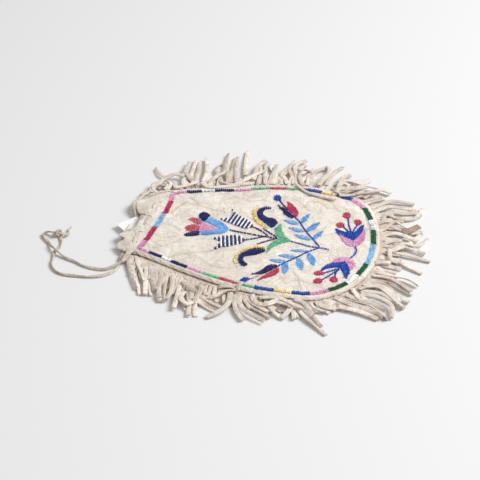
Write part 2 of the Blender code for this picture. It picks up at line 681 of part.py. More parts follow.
def main():
    """Build the bag."""
    clear_scene()
    group = bpy.data.collections.new("beaded_medicine_bag")
    bpy.context.scene.collection.children.link(group)
    cutters = bpy.data.collections.new("cutters")
    bpy.context.scene.collection.children.link(cutters)
    panel_mats = {"front_panel": finish_of("front_panel", HIDE_FRONT, 0.9),
                  "back_panel": finish_of("back_panel", HIDE_BACK, 0.9)}
    build_panels(group, cutters, panel_mats)
    build_beads(group, cutters)
    first = 0
    for name, start, stop in (("fringe_far", -1.0, -0.352), ("fringe_foot", -0.349, 0.349),
                              ("fringe_near", 0.352, 1.0)):
        first += fringe_section(name, start, stop, first, finish_of(name, HIDE_FRINGE, 0.9),
                                group)
    build_thong(group, lambda name: finish_of(name, HIDE_THONG, 0.9))
    build_card(group)
    for obj in cutters.objects:
        obj.hide_render = True
        obj.display_type = "WIRE"


main()
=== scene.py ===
"""Looks of the beaded hide medicine bag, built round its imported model.

The bag lies on its back panel with its mouth toward -X. Plan sizes are in millimetres in the
drawing frame of the bag, whose zero is where the bead lane crosses the mouth, and they are
turned into the part's frame in metres as each mesh is made.
"""

import logging
import math
import random
from dataclasses import dataclass, field
from enum import Enum
from typing import Callable, Sequence

import bpy
import numpy as np
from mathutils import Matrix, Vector, noise
from mathutils.bvhtree import BVHTree

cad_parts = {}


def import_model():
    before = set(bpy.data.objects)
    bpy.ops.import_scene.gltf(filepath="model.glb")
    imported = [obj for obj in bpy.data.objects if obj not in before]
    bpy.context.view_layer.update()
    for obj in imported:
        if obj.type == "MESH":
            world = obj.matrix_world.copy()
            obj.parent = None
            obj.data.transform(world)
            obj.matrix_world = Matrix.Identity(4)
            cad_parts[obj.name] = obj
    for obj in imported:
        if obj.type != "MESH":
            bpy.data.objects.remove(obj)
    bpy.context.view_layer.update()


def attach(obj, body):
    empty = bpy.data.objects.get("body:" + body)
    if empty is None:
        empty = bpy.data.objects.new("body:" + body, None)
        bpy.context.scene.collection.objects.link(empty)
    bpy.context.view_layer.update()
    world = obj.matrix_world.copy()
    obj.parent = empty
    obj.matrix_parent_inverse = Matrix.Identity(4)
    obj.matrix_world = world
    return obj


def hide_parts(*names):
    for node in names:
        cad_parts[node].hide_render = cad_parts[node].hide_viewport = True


logging.basicConfig(level=logging.INFO, format="%(message)s")
LOG = logging.getLogger("bag")

MM = 0.001
ORIGIN_X = 113.33
ORIGIN_Y = 11.36
BODY = "root"
BEAD_LONG = 1.3
SKETCH_LEVEL = 10.0

Point = tuple[float, ...]
Colour = tuple[float, float, float]


def srgb(red: int, green: int, blue: int) -> Colour:
    """Turn a colour of 0 to 255 into linear light."""
    return tuple(((c / 255 + 0.055) / 1.055) ** 2.4 if c > 10 else c / 255 / 12.92
                 for c in (red, green, blue))


def world(x: float, y: float, z: float) -> Vector:
    """Turn a point of the drawing, in millimetres, into the part's frame in metres."""
    return Vector(((x - ORIGIN_X) * MM, (y - ORIGIN_Y) * MM, z * MM))


def ease(u: float) -> float:
    """Go from 0 to 1 without a corner at either end."""
    u = min(max(u, 0.0), 1.0)
    return u * u * (3 - 2 * u)


def read_table(table: Sequence[Point], value: float) -> float:
    """Read a short table of pairs between its entries."""
    for (a, va), (b, vb) in zip(table, table[1:]):
        if value <= b:
            return va + (vb - va) * max(0.0, value - a) / (b - a)
    return table[-1][1]


def smooth_line(points: Sequence[Point], steps: int = 6) -> list[Point]:
    """Read a few chosen points as a smooth open line.

    Args:
        points: The points that the line passes through, of any dimension.
        steps: How many pieces each stretch is cut into.

    Returns:
        The points of the finer line.
    """
    first = [2 * a - b for a, b in zip(points[0], points[1])]
    last = [2 * a - b for a, b in zip(points[-1], points[-2])]
    ext = [first] + [list(p) for p in points] + [last]
    line = []
    for i in range(1, len(ext) - 2):
        a, b, c, d = ext[i - 1:i + 3]
        for k in range(steps):
            u = k / steps
            line.append(tuple(
                0.5 * (2 * b[j] + (c[j] - a[j]) * u
                       + (2 * a[j] - 5 * b[j] + 4 * c[j] - d[j]) * u * u
                       + (3 * b[j] - a[j] - 3 * c[j] + d[j]) * u ** 3)
                for j in range(len(b))))
    line.append(tuple(points[-1]))
    return line


class Track:
    """A line on the plan that is read by distance, with its outward side."""

    def __init__(self, line: Sequence[Point]) -> None:
        """Measure the line."""
        self.line = line
        self.marks = [0.0]
        for a, b in zip(line, line[1:]):
            self.marks.append(self.marks[-1] + math.dist(a, b))
        self.length = self.marks[-1]

    def at(self, s: float, out: float = 0.0) -> Point:
        """Point at distance s, moved sideways by out to the left of the way it runs."""
        k = int(np.searchsorted(self.marks, s)) - 1
        k = min(max(k, 0), len(self.line) - 2)
        a, b = self.line[k], self.line[k + 1]
        step = self.marks[k + 1] - self.marks[k]
        u = (s - self.marks[k]) / step
        dx, dy = (b[0] - a[0]) / step, (b[1] - a[1]) / step
        return (a[0] + dx * step * u - dy * out, a[1] + dy * step * u + dx * out)

    def heading(self, s: float) -> float:
        """Direction in which the line runs at distance s, in radians."""
        a, b = self.at(max(s - 1.5, 0.0)), self.at(min(s + 1.5, self.length))
        return math.atan2(b[1] - a[1], b[0] - a[0])


class Line:
    """A line of points that is read by a fraction of its length."""

    def __init__(self, points: Sequence[Point]) -> None:
        """Measure the line."""
        self.points = np.array(points, dtype=float)
        steps = np.linalg.norm(np.diff(self.points, axis=0), axis=1)
        self.marks = np.concatenate([[0.0], np.cumsum(steps)])
        self.length = float(self.marks[-1])

    def at(self, part: np.ndarray) -> np.ndarray:
        """Points at the given fractions of the length."""
        s = np.asarray(part, dtype=float) * self.length
        return np.stack([np.interp(s, self.marks, self.points[:, k])
                         for k in range(self.points.shape[1])], axis=-1)


def ease_all(u: np.ndarray) -> np.ndarray:
    """Ease a whole array from 0 to 1."""
    u = np.clip(u, 0.0, 1.0)
    return u * u * (3 - 2 * u)


def distance_to(line: Sequence[Point], x: np.ndarray, y: np.ndarray) -> np.ndarray:
    """Distance of each place on the plan from a line."""
    best = np.full(x.shape, 1e9)
    for (ax, ay), (bx, by) in zip(line, line[1:]):
        dx, dy = bx - ax, by - ay
        u = np.clip(((x - ax) * dx + (y - ay) * dy) / (dx * dx + dy * dy), 0.0, 1.0)
        best = np.minimum(best, np.hypot(x - ax - u * dx, y - ay - u * dy))
    return best


def rough(x: np.ndarray, y: np.ndarray, size: float, seed: float) -> np.ndarray:
    """Smooth random heights from -1 to 1 with features of about the given size."""
    return np.array([noise.noise(Vector((a / size, b / size, seed))) for a, b in zip(x, y)])


class Plan:
    """The bag's outlines and heights, the same as in its CAD source."""

    HIDE = 1.2
    FRINGE_THICK = 1.0
    WELT_ROOM = 0.55
    EDGE_LIFT = 1.5
    THONG = 2.4
    SEAM_TOP = EDGE_LIFT + 2 * HIDE + FRINGE_THICK + 2 * WELT_ROOM
    WELT_MID = EDGE_LIFT + HIDE + WELT_ROOM + FRINGE_THICK / 2
    BACK_LIFT = 3.0
    CROWN_RISE = 4.3
    CROWN_RUN = 16.0
    MOUTH_RISE = 1.4
    RIPPLE = 0.3
    LANE_WIDE = 5.8
    SIDE_MARGIN = 9.5
    NEAR_MARGIN = 6.2
    FOOT_MARGIN = 7.0
    FAR_LANE = [(0, 48), (26, 60), (58, 72), (91, 85), (125, 92), (155, 91.5), (175, 87),
                (189, 76), (199, 58), (206, 39), (211, 15)]
    FOOT = (212, -1)
    NEAR_LANE = [(0, -51), (26, -59), (58, -69), (91, -77), (125, -81), (155, -79), (174, -76),
                 (188, -66), (199, -53), (207, -36), (211.5, -16)]
    MOUTH_LANE = [(0, 48), (3.2, 30), (4.8, 10), (4.5, -12), (2.5, -33), (0, -51)]
    FRONT_MOUTH = [(-4, -58), (-12, -57), (-19, -53.5), (-22.5, -48), (-17.5, -41), (-24.5, -36),
                   (-24.5, -30), (-16, -23), (-13.5, -13), (-15.5, -3), (-15, 1), (-9, -1.5), (-17.5, 4),
                   (-23.5, 11), (-27, 19), (-27.5, 27), (-25, 34), (-17, 39), (-9, 47), (-3, 53)]
    BACK_MOUTH = [(-5, -57.5), (-16, -53), (-21, -42), (-23.5, -28), (-24, -12), (-22, 1),
                  (-26, 9), (-30.5, 18), (-31.5, 28), (-27, 37), (-18, 45), (-8, 54)]
    SLITS = [-44.5, -29.0, -15.5, -2.0, 12.5, 26.0]
    SLIT_RUN = 2.6
    FRONT_LACE_X = -6.0
    BACK_LACE_X = -13.0

    def __init__(self) -> None:
        """Lay out the lane and the sewn edge."""
        self.lane = Track(smooth_line(self.FAR_LANE + [self.FOOT] + self.NEAR_LANE[::-1], 8))
        self.foot_at = self.lane.marks[8 * len(self.FAR_LANE)]
        self.mouth = Track(smooth_line(self.MOUTH_LANE, 6))
        sewn = [self.edge_at(-1 + 2 * i / 52) for i in range(53)]
        self.side_line = [self.FRONT_MOUTH[-1]] + sewn + self.FRONT_MOUTH[:2]

    def lane_distance(self, t: float) -> float:
        """Distance along the lane for t, -1 at the far corner, 0 at the foot, 1 near."""
        if t <= 0:
            return (1 + t) * self.foot_at
        return self.foot_at + t * (self.lane.length - self.foot_at)

    def edge_at(self, t: float, out: float = 0.0) -> Point:
        """Point on the sewn edge of the panels."""
        away = ease((abs(t) - 0.12) / 0.38)
        side = self.SIDE_MARGIN if t < 0 else self.NEAR_MARGIN
        margin = self.FOOT_MARGIN + (side - self.FOOT_MARGIN) * away
        return self.lane.at(self.lane_distance(t), margin + out)

    def front_top(self, x: np.ndarray, y: np.ndarray) -> np.ndarray:
        """Height of the outer face of the front panel."""
        rise = 1 - np.exp(-distance_to(self.side_line, x, y) / self.CROWN_RUN)
        wave = np.sin(0.085 * x + 0.03 * y + 1.0) * np.cos(0.055 * y - 0.02 * x)
        mouth = self.MOUTH_RISE * ease_all((24 - x) / 30)
        return self.SEAM_TOP + (self.CROWN_RISE + mouth + self.RIPPLE * wave) * rise

    def back_bottom(self, x: np.ndarray, y: np.ndarray) -> np.ndarray:
        """Height of the under face of the back panel."""
        across = ease_all((53 - np.abs(y + 3)) / 9)
        edge = ease_all(1 - distance_to(self.side_line, x, y) / 9) * ease_all((x + 2) / 12)
        return self.BACK_LIFT * ease_all((6 - x) / 10) * across + self.EDGE_LIFT * edge


PLAN = Plan()


def deselect() -> None:
    """Leave nothing selected, so that an operator acts on the new piece alone."""
    bpy.ops.object.select_all(action="DESELECT")


def pick(obj: bpy.types.Object) -> None:
    """Make one object the selected and active one."""
    deselect()
    obj.select_set(True)
    bpy.context.view_layer.objects.active = obj


def corners_of(obj: bpy.types.Object) -> np.ndarray:
    """Places of a mesh's corners."""
    flat = np.empty(3 * len(obj.data.vertices))
    obj.data.vertices.foreach_get("co", flat)
    return flat.reshape(-1, 3)


def put_corners(obj: bpy.types.Object, places: np.ndarray) -> None:
    """Move a mesh's corners to places on the drawing, in millimetres."""
    moved = (places - np.array([ORIGIN_X, ORIGIN_Y, 0.0])) * MM
    obj.data.vertices.foreach_set("co", moved.ravel())
    obj.data.update()


def drawing_of(obj: bpy.types.Object) -> np.ndarray:
    """Places of a mesh's corners on the drawing, in millimetres."""
    return corners_of(obj) / MM + np.array([ORIGIN_X, ORIGIN_Y, 0.0])


def mark(obj: bpy.types.Object, name: str, values: np.ndarray) -> None:
    """Give each corner of a mesh a value that its finish reads."""
    layer = obj.data.attributes.new(name, "FLOAT", "POINT")
    layer.data.foreach_set("value", np.asarray(values, dtype=np.float32))


def apply_all(obj: bpy.types.Object) -> None:
    """Apply a piece's modifiers in order."""
    pick(obj)
    for name in [m.name for m in obj.modifiers]:
        bpy.ops.object.modifier_apply(modifier=name)


def grid_sheet(name: str, along: int, across: int,
               place: Callable[[np.ndarray, np.ndarray], np.ndarray]) -> bpy.types.Object:
    """Lay a grid over a surface.

    Args:
        name: The sheet's name.
        along: Faces along the first fraction.
        across: Faces along the second fraction.
        place: Gives the places on the drawing for two arrays of fractions.

    Returns:
        The open sheet, with its faces looking up.
    """
    deselect()
    bpy.ops.mesh.primitive_grid_add(x_subdivisions=along, y_subdivisions=across, size=1.0)
    sheet = bpy.context.object
    sheet.name = sheet.data.name = name
    flat = corners_of(sheet) + 0.5
    put_corners(sheet, place(flat[:, 0], flat[:, 1]))
    bpy.ops.object.mode_set(mode="EDIT")
    bpy.ops.mesh.select_all(action="SELECT")
    bpy.ops.mesh.remove_doubles(threshold=0.00002)
    bpy.ops.mesh.normals_make_consistent(inside=False)
    bpy.ops.object.mode_set(mode="OBJECT")
    if sum(face.normal.z for face in sheet.data.polygons) < 0:
        sheet.data.flip_normals()
    return sheet


def give_wall(sheet: bpy.types.Object, thick: float, side: float) -> None:
    """Give an open sheet its thickness in millimetres, up for side 1 and down for -1."""
    pick(sheet)
    bpy.ops.object.modifier_add(type="SOLIDIFY")
    wall = sheet.modifiers[-1]
    wall.thickness = thick * MM
    wall.offset = side
    apply_all(sheet)


@dataclass
class Pattern:
    """A small mesh modelled once, whose corners and faces are then repeated."""

    corners: np.ndarray
    faces: list[tuple[int, ...]]

    @classmethod
    def taken(cls, obj: bpy.types.Object) -> "Pattern":
        """Take over a modelled object's mesh, and remove the object."""
        faces = [tuple(f.vertices) for f in obj.data.polygons]
        made = cls(corners_of(obj), faces)
        mesh = obj.data
        bpy.data.objects.remove(obj, do_unlink=True)
        bpy.data.meshes.remove(mesh)
        return made

    def repeated(self, name: str, copies: Sequence[np.ndarray],
                 marks: dict[str, Sequence[np.ndarray]]) -> bpy.types.Object:
        """Put copies of the pattern into one mesh.

        Args:
            name: The new object's name.
            copies: For each copy, the places of all its corners, in millimetres.
            marks: Values for each copy's corners, by the name that a finish reads.

        Returns:
            The new object.
        """
        count = len(self.corners)
        faces = [tuple(v + count * k for v in face)
                 for k in range(len(copies)) for face in self.faces]
        places = np.concatenate(copies)
        mesh = bpy.data.meshes.new(name)
        mesh.from_pydata(places.tolist(), [], faces)
        obj = bpy.data.objects.new(name, mesh)
        bpy.context.scene.collection.objects.link(obj)
        put_corners(obj, places)
        for key, values in marks.items():
            mark(obj, key, np.concatenate(values))
        pick(obj)
        return obj


def model_rod(sides: int, rings: int) -> Pattern:
    """Model an upright rod of unit height with evenly spaced rings of corners."""
    deselect()
    step = 1.0 / rings
    bpy.ops.mesh.primitive_cylinder_add(vertices=sides, radius=1.0, depth=step,
                                        end_fill_type="NGON", location=(0, 0, step / 2))
    rod = bpy.context.object
    bpy.ops.object.transform_apply(location=True, rotation=False, scale=False)
    bpy.ops.object.mode_set(mode="EDIT")
    bpy.ops.mesh.select_all(action="DESELECT")
    bpy.ops.object.mode_set(mode="OBJECT")
    top = max(rod.data.polygons, key=lambda face: face.center.z)
    top.select = True
    bpy.ops.object.mode_set(mode="EDIT")
    bpy.context.tool_settings.mesh_select_mode = (False, False, True)
    for _ in range(rings - 1):
        bpy.ops.mesh.extrude_region_move(TRANSFORM_OT_translate={"value": (0, 0, step)})
    bpy.ops.mesh.select_all(action="SELECT")
    bpy.ops.mesh.normals_make_consistent(inside=False)
    bpy.ops.object.mode_set(mode="OBJECT")
    return Pattern.taken(rod)


def model_bead() -> Pattern:
    """Model one glass bead of unit radius and half length, its hole along Z."""
    deselect()
    bpy.ops.mesh.primitive_torus_add(major_segments=8, minor_segments=6, major_radius=0.66,
                                     minor_radius=0.34)
    bead = bpy.context.object
    bpy.ops.object.mode_set(mode="EDIT")
    bpy.ops.mesh.select_all(action="SELECT")
    bpy.ops.transform.resize(value=(1.0, 1.0, 1 / 0.34))
    bpy.ops.object.mode_set(mode="OBJECT")
    return Pattern.taken(bead)


def lay_rod(rod: Pattern, path: Sequence[Point], wide: Callable[[np.ndarray], np.ndarray],
            thick: float, twist: Callable[[np.ndarray], np.ndarray],
            square: float = 0.62) -> np.ndarray:
    """Bend a rod along a path.

    Args:
        rod: The rod to bend.
        path: Points in millimetres that its middle follows.
        wide: The rod's width at each fraction of its length.
        thick: Its thickness.
        twist: The turn of its section at each fraction, in radians.
        square: How boxy the section is, 1 for round and less for squarer.

    Returns:
        The new places of the rod's corners.
    """
    line = Line(path)
    part = rod.corners[:, 2]
    marks = np.unique(np.round(part, 6))
    middle = line.at(marks)
    ahead = line.at(np.clip(marks + 0.012, 0, 1)) - line.at(np.clip(marks - 0.012, 0, 1))
    ahead /= np.linalg.norm(ahead, axis=1)[:, None]
    up = np.array([0.0, 0.0, 1.0])
    ups = []
    for way in ahead:
        up = up - way * float(up @ way)
        up /= np.linalg.norm(up)
        ups.append(up)
    ups = np.array(ups)
    sides = np.cross(ups, ahead)
    ring = np.searchsorted(marks, np.round(part, 6))
    across, tall = rod.corners[:, 0], rod.corners[:, 1]
    across = np.sign(across) * np.abs(across) ** square * wide(part) / 2
    tall = np.sign(tall) * np.abs(tall) ** square * thick / 2
    turn = twist(part)
    flat = across * np.cos(turn) - tall * np.sin(turn)
    high = across * np.sin(turn) + tall * np.cos(turn)
    return middle[ring] + sides[ring] * flat[:, None] + ups[ring] * high[:, None]


class Nodes:
    """Adds and joins the nodes of one tree."""

    def __init__(self, tree: bpy.types.NodeTree) -> None:
        """Start on a tree."""
        self.tree = tree

    def add(self, kind: str, *inputs: object, **settings: object) -> bpy.types.Node:
        """Add a node, set it up and feed its first inputs.

        Args:
            kind: The node's type.
            inputs: For each socket in order, None, a plain value or a socket to join.
            settings: Properties of the node itself.

        Returns:
            The new node.
        """
        node = self.tree.nodes.new("ShaderNode" + kind)
        for key, value in settings.items():
            setattr(node, key, value)
        for socket, value in zip(node.inputs, inputs):
            self.feed(socket, value)
        return node

    def feed(self, socket: bpy.types.NodeSocket, value: object) -> None:
        """Join a socket to another one, or give it a plain value."""
        if isinstance(value, bpy.types.NodeSocket):
            self.tree.links.new(value, socket)
        elif value is not None:
            socket.default_value = value

    def math(self, operation: str, *inputs: object) -> bpy.types.NodeSocket:
        """Add a clamped-free sum of plain numbers and sockets."""
        return self.add("Math", *inputs, operation=operation).outputs[0]

    def range(self, value: object, low: float, high: float, out_low: float = 0.0,
              out_high: float = 1.0) -> bpy.types.NodeSocket:
        """Turn one span of values smoothly into another."""
        node = self.add("MapRange", value, low, high, out_low, out_high)
        node.interpolation_type = "SMOOTHSTEP"
        return node.outputs[0]

    def mix(self, share: object, first: object, second: object) -> bpy.types.NodeSocket:
        """Mix two colours."""
        node = self.add("Mix", data_type="RGBA")
        for index, value in ((0, share), (6, first), (7, second)):
            self.feed(node.inputs[index], value)
        return node.outputs[2]

    def noise(self, place: object, scale: float, detail: float = 3.0,
              distort: float = 0.0) -> bpy.types.NodeSocket:
        """Add a noise of values about a half."""
        node = self.add("TexNoise")
        self.feed(node.inputs["Vector"], place)
        node.inputs["Scale"].default_value = scale
        node.inputs["Detail"].default_value = detail
        node.inputs["Distortion"].default_value = distort
        return node.outputs[0]

    def read(self, name: str) -> bpy.types.NodeSocket:
        """Read a value that was marked on the mesh."""
        return self.add("Attribute", attribute_name=name).outputs["Fac"]


def new_group(name: str, inputs: dict[str, str], outputs: dict[str, str]) -> tuple[
        bpy.types.NodeTree, Nodes, bpy.types.Node, bpy.types.Node]:
    """Make an empty node group.

    Args:
        name: The group's name.
        inputs: Its input sockets and their kinds.
        outputs: Its output sockets and their kinds.

    Returns:
        The group, its nodes, its input node and its output node.
    """
    tree = bpy.data.node_groups.new(name, "ShaderNodeTree")
    for way, sockets in (("INPUT", inputs), ("OUTPUT", outputs)):
        for key, kind in sockets.items():
            tree.interface.new_socket(name=key, in_out=way, socket_type="NodeSocket" + kind)
    nodes = Nodes(tree)
    start = tree.nodes.new("NodeGroupInput")
    stop = tree.nodes.new("NodeGroupOutput")
    return tree, nodes, start, stop


def hide_group() -> bpy.types.NodeTree:
    """Build the group for the look of tanned hide: mottled colour, nap, and creases with painted shade.
    """
    tree, n, start, stop = new_group(
        "tanned_hide",
        {"Place": "Vector", "Light": "Color", "Middle": "Color", "Dark": "Color",
         "Edge": "Float", "Soil": "Float"},
        {"Color": "Color", "Height": "Float", "Roughness": "Float"})
    place = start.outputs["Place"]
    clouds = n.range(n.noise(place, 26, 4), 0.36, 0.62)
    patches = n.range(n.noise(place, 85, 5, 0.4), 0.4, 0.68)
    nap = n.noise(place, 1500, 3)
    fold = n.math("ABSOLUTE", n.math("SUBTRACT", n.noise(place, 62, 3, 1.2), 0.5))
    crease = n.range(fold, 0.0, 0.03, 1.0, 0.0)
    fine = n.math("ABSOLUTE", n.math("SUBTRACT", n.noise(place, 190, 2, 1.0), 0.5))
    wrinkle = n.range(fine, 0.0, 0.05, 1.0, 0.0)
    field = n.noise(place, 20, 2, 0.6)
    swirl = n.math("SINE", n.math("MULTIPLY", field, 170))
    swirl = n.math("MULTIPLY", n.range(swirl, 0.1, 1.0), n.range(n.noise(place, 33, 2), 0.42, 0.6))
    colour = n.mix(clouds, start.outputs["Middle"], start.outputs["Light"])
    # Painted shade: the troughs of the swirls are darkened as well as sunk by the height below.
    colour = n.mix(n.math("MULTIPLY", swirl, 0.19), colour, start.outputs["Dark"])
    colour = n.mix(n.math("MULTIPLY", patches, start.outputs["Soil"]), colour,
                   start.outputs["Dark"])
    # Painted shade: the creases and fine wrinkles are darkened where the height below sinks them.
    colour = n.mix(n.math("MULTIPLY", crease, 0.3), colour, start.outputs["Dark"])
    colour = n.mix(n.math("MULTIPLY", wrinkle, 0.13), colour, start.outputs["Dark"])
    colour = n.mix(n.range(nap, 0.3, 0.7, 0.0, 0.12), colour, start.outputs["Dark"])
    # The rim mark darkens raw edges with their own colour, and carries painted shade in the front
    # panel's creases and along the strips' sides and roots.
    colour = n.mix(start.outputs["Edge"], colour, start.outputs["Dark"])
    height = n.math("SUBTRACT", n.math("MULTIPLY", nap, 0.25), n.math("MULTIPLY", crease, 0.8))
    height = n.math("SUBTRACT", height, n.math("MULTIPLY", wrinkle, 0.45))
    height = n.math("SUBTRACT", height, n.math("MULTIPLY", swirl, 0.55))
    n.feed(stop.inputs["Color"], colour)
    n.feed(stop.inputs["Height"], height)
    n.feed(stop.inputs["Roughness"], n.range(patches, 0.0, 1.0, 0.9, 0.78))
    return tree


def spot_group() -> bpy.types.NodeTree:
    """Build the group for a soaked-in brown spot with a ragged rim."""
    tree, n, start, stop = new_group(
        "soaked_spot", {"Place": "Vector", "Centre": "Vector", "Size": "Float"},
        {"Mask": "Float"})
    away = n.add("VectorMath", start.outputs["Place"], start.outputs["Centre"],
                 operation="DISTANCE").outputs["Value"]
    ragged = n.math("MULTIPLY", n.math("SUBTRACT", n.noise(start.outputs["Place"], 260, 3), 0.5),
                    0.006)
    share = n.math("DIVIDE", n.math("ADD", away, ragged), start.outputs["Size"])
    n.feed(stop.inputs["Mask"], n.range(share, 0.55, 1.0, 1.0, 0.0))
    return tree


def glass_group() -> bpy.types.NodeTree:
    """Build the group that turns each bead's value into its colour: its own tone, with painted light on
    its top and painted shade on its flanks and on each other row.
    """
    tree, n, start, stop = new_group(
        "bead_shades", {"Color": "Color", "Tint": "Float"},
        {"Color": "Color", "Roughness": "Float"})
    shade = n.add("HueSaturation")
    n.feed(shade.inputs["Hue"], n.range(start.outputs["Tint"], 0, 1, 0.49, 0.51))
    n.feed(shade.inputs["Saturation"], n.range(start.outputs["Tint"], 0, 1, 1.06, 0.92))
    n.feed(shade.inputs["Value"], n.range(start.outputs["Tint"], 0, 1, 0.5, 1.55))
    n.feed(shade.inputs["Color"], start.outputs["Color"])
    n.feed(stop.inputs["Color"], shade.outputs[0])
    n.feed(stop.inputs["Roughness"], n.range(start.outputs["Tint"], 0, 1, 0.32, 0.18))
    return tree


class Group(Enum):
    """Node groups that more than one finish uses."""

    HIDE = "tanned_hide"
    SPOT = "soaked_spot"
    GLASS = "bead_shades"

    def tree(self) -> bpy.types.NodeTree:
        """Give the group, built the first time that it is asked for."""
        if self.value not in bpy.data.node_groups:
            {Group.HIDE: hide_group, Group.SPOT: spot_group, Group.GLASS: glass_group}[self]()
        return bpy.data.node_groups[self.value]


def new_material(name: str) -> tuple[bpy.types.Material, Nodes, bpy.types.Node]:
    """Make a material, with its nodes and its Principled shader."""
    mat = bpy.data.materials.new(name)
    mat.use_nodes = True
    return mat, Nodes(mat.node_tree), mat.node_tree.nodes["Principled BSDF"]


@dataclass(frozen=True)
class Spot:
    """A brown spot on a hide, its centre on the drawing and its radius, in millimetres."""

    centre: Point
    radius: float
    strength: float


@dataclass(frozen=True)
class HideFinish:
    """Smoked and worn hide."""

    name: str
    light: Colour
    middle: Colour
    dark: Colour
    soil: float = 0.3
    # How strongly the rim mark darkens: the raw edges' own colour, plus painted shade in creases and on
    # the strips.
    edge: float = 0.6
    spots: tuple[Spot, ...] = ()

    def make(self) -> bpy.types.Material:
        """Make the material."""
        mat, n, shader = new_material(self.name)
        place = n.add("TexCoord").outputs["Object"]
        hide = n.add("Group", node_tree=Group.HIDE.tree())
        n.feed(hide.inputs["Place"], place)
        for key, value in (("Light", self.light), ("Middle", self.middle), ("Dark", self.dark)):
            n.feed(hide.inputs[key], (*value, 1.0))
        # The rim mark: raw edges' own colour, with painted shade in the front panel's creases and on the
        # strips' sides and roots.
        n.feed(hide.inputs["Edge"], n.math("MULTIPLY", n.read("rim"), self.edge))
        n.feed(hide.inputs["Soil"], self.soil)
        # On hide pieces this mark holds only a plain tone for each piece.
        shade = n.add("HueSaturation")
        n.feed(shade.inputs["Value"], n.range(n.read("tint"), 0, 1, 0.88, 1.06))
        n.feed(shade.inputs["Color"], hide.outputs["Color"])
        colour = shade.outputs[0]
        for spot in self.spots:
            soaked = n.add("Group", node_tree=Group.SPOT.tree())
            n.feed(soaked.inputs["Place"], place)
            n.feed(soaked.inputs["Centre"], world(*spot.centre))
            n.feed(soaked.inputs["Size"], spot.radius * MM)
            colour = n.mix(n.math("MULTIPLY", soaked.outputs["Mask"], spot.strength), colour,
                           (*srgb(92, 58, 40), 1.0))
        n.feed(shader.inputs["Base Color"], colour)
        n.feed(shader.inputs["Roughness"], hide.outputs["Roughness"])
        bump = n.add("Bump")
        bump.inputs["Strength"].default_value = 0.5
        bump.inputs["Distance"].default_value = 0.0008
        n.feed(bump.inputs["Height"], hide.outputs["Height"])
        n.feed(shader.inputs["Normal"], bump.outputs[0])
        shader.inputs["Sheen Weight"].default_value = 0.12
        shader.inputs["Specular IOR Level"].default_value = 0.25
        return mat


@dataclass(frozen=True)
class GlassFinish:
    """Small glass beads of one colour."""

    name: str
    colour: Colour

    def make(self) -> bpy.types.Material:
        """Make the material."""
        mat, n, shader = new_material(self.name)
        bead = n.add("Group", node_tree=Group.GLASS.tree())
        n.feed(bead.inputs["Color"], (*self.colour, 1.0))
        n.feed(bead.inputs["Tint"], n.read("tint"))
        n.feed(shader.inputs["Base Color"], bead.outputs["Color"])
        n.feed(shader.inputs["Roughness"], bead.outputs["Roughness"])
        shader.inputs["Specular IOR Level"].default_value = 0.3
        shader.inputs["Coat Weight"].default_value = 0.12
        shader.inputs["Coat Roughness"].default_value = 0.12
        return mat


@dataclass(frozen=True)
class CardFinish:
    """Bare pasteboard, a little yellowed in patches."""

    name: str = "bare_card"

    def make(self) -> bpy.types.Material:
        """Make the material."""
        mat, n, shader = new_material(self.name)
        place = n.add("TexCoord").outputs["Object"]
        fibre = n.range(n.noise(place, 2600, 2), 0.3, 0.7)
        aged = n.range(n.noise(place, 120, 3), 0.4, 0.75)
        colour = n.mix(n.math("MULTIPLY", aged, 0.5), (*srgb(254, 254, 252), 1),
                       (*srgb(240, 238, 230), 1))
        colour = n.mix(n.math("MULTIPLY", fibre, 0.12), colour, (*srgb(205, 200, 188), 1))
        n.feed(shader.inputs["Base Color"], colour)
        n.feed(shader.inputs["Roughness"], n.range(fibre, 0, 1, 0.75, 0.9))
        return mat


@dataclass(frozen=True)
class FloorFinish:
    """Plain pale studio paper."""

    name: str = "studio_paper"
    colour: Colour = srgb(235, 235, 236)

    def make(self) -> bpy.types.Material:
        """Make the material."""
        mat, _, shader = new_material(self.name)
        shader.inputs["Base Color"].default_value = (*self.colour, 1)
        shader.inputs["Roughness"].default_value = 0.9
        shader.inputs["Specular IOR Level"].default_value = 0.0
        return mat


class Glass(Enum):
    """Bead colours: the slot name of each, from which its material's name is made, and the colour
    itself.
    """

    PINK = ("beads_pink", srgb(240, 170, 214))
    NAVY = ("beads_navy", srgb(16, 36, 106))
    WHITE = ("beads_white", srgb(246, 249, 252))
    GREEN = ("beads_green", srgb(116, 198, 150))
    RED = ("beads_red", srgb(206, 54, 102))
    BLUE = ("beads_blue", srgb(0, 76, 180))
    YELLOW = ("beads_yellow", srgb(254, 226, 148))
    DARK_GREEN = ("beads_dark_green", srgb(16, 100, 66))
    SKY = ("beads_sky", srgb(152, 210, 252))
    CORNFLOWER = ("beads_cornflower", srgb(122, 187, 248))

    @property
    def packing(self) -> float:
        """Say how much the colour's beads close up: some show less hide between them."""
        close = (Glass.NAVY, Glass.BLUE, Glass.DARK_GREEN, Glass.WHITE)
        return 1.2 if self in close else 1.0

    def finish(self) -> bpy.types.Material:
        """Give the colour's material, made the first time that it is asked for."""
        name = self.value[0].replace("beads_", "glass_")
        found = bpy.data.materials.get(name)
        return found or GlassFinish(name, self.value[1]).make()


def dress(obj: bpy.types.Object, mat: bpy.types.Material, slot: str,
          *nodes: str) -> bpy.types.Object:
    """Finish a piece, hang it on the body, and hide the CAD parts that it stands for.

    Args:
        obj: The piece.
        mat: Its material.
        slot: The slot that the finish belongs to; not used.
        nodes: The CAD nodes that the piece stands for.

    Returns:
        The piece.
    """
    obj.data.materials.clear()
    obj.data.materials.append(mat)
    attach(obj, BODY)
    if nodes:
        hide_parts(*nodes)
    LOG.info("made %s", obj.name)
    return obj


def soften(obj: bpy.types.Object, angle: float = 180.0) -> None:
    """Shade a piece smooth, apart from edges sharper than the angle in degrees."""
    pick(obj)
    if angle >= 180.0:
        bpy.ops.object.shade_smooth()
    else:
        bpy.ops.object.shade_smooth_by_angle(angle=math.radians(angle))


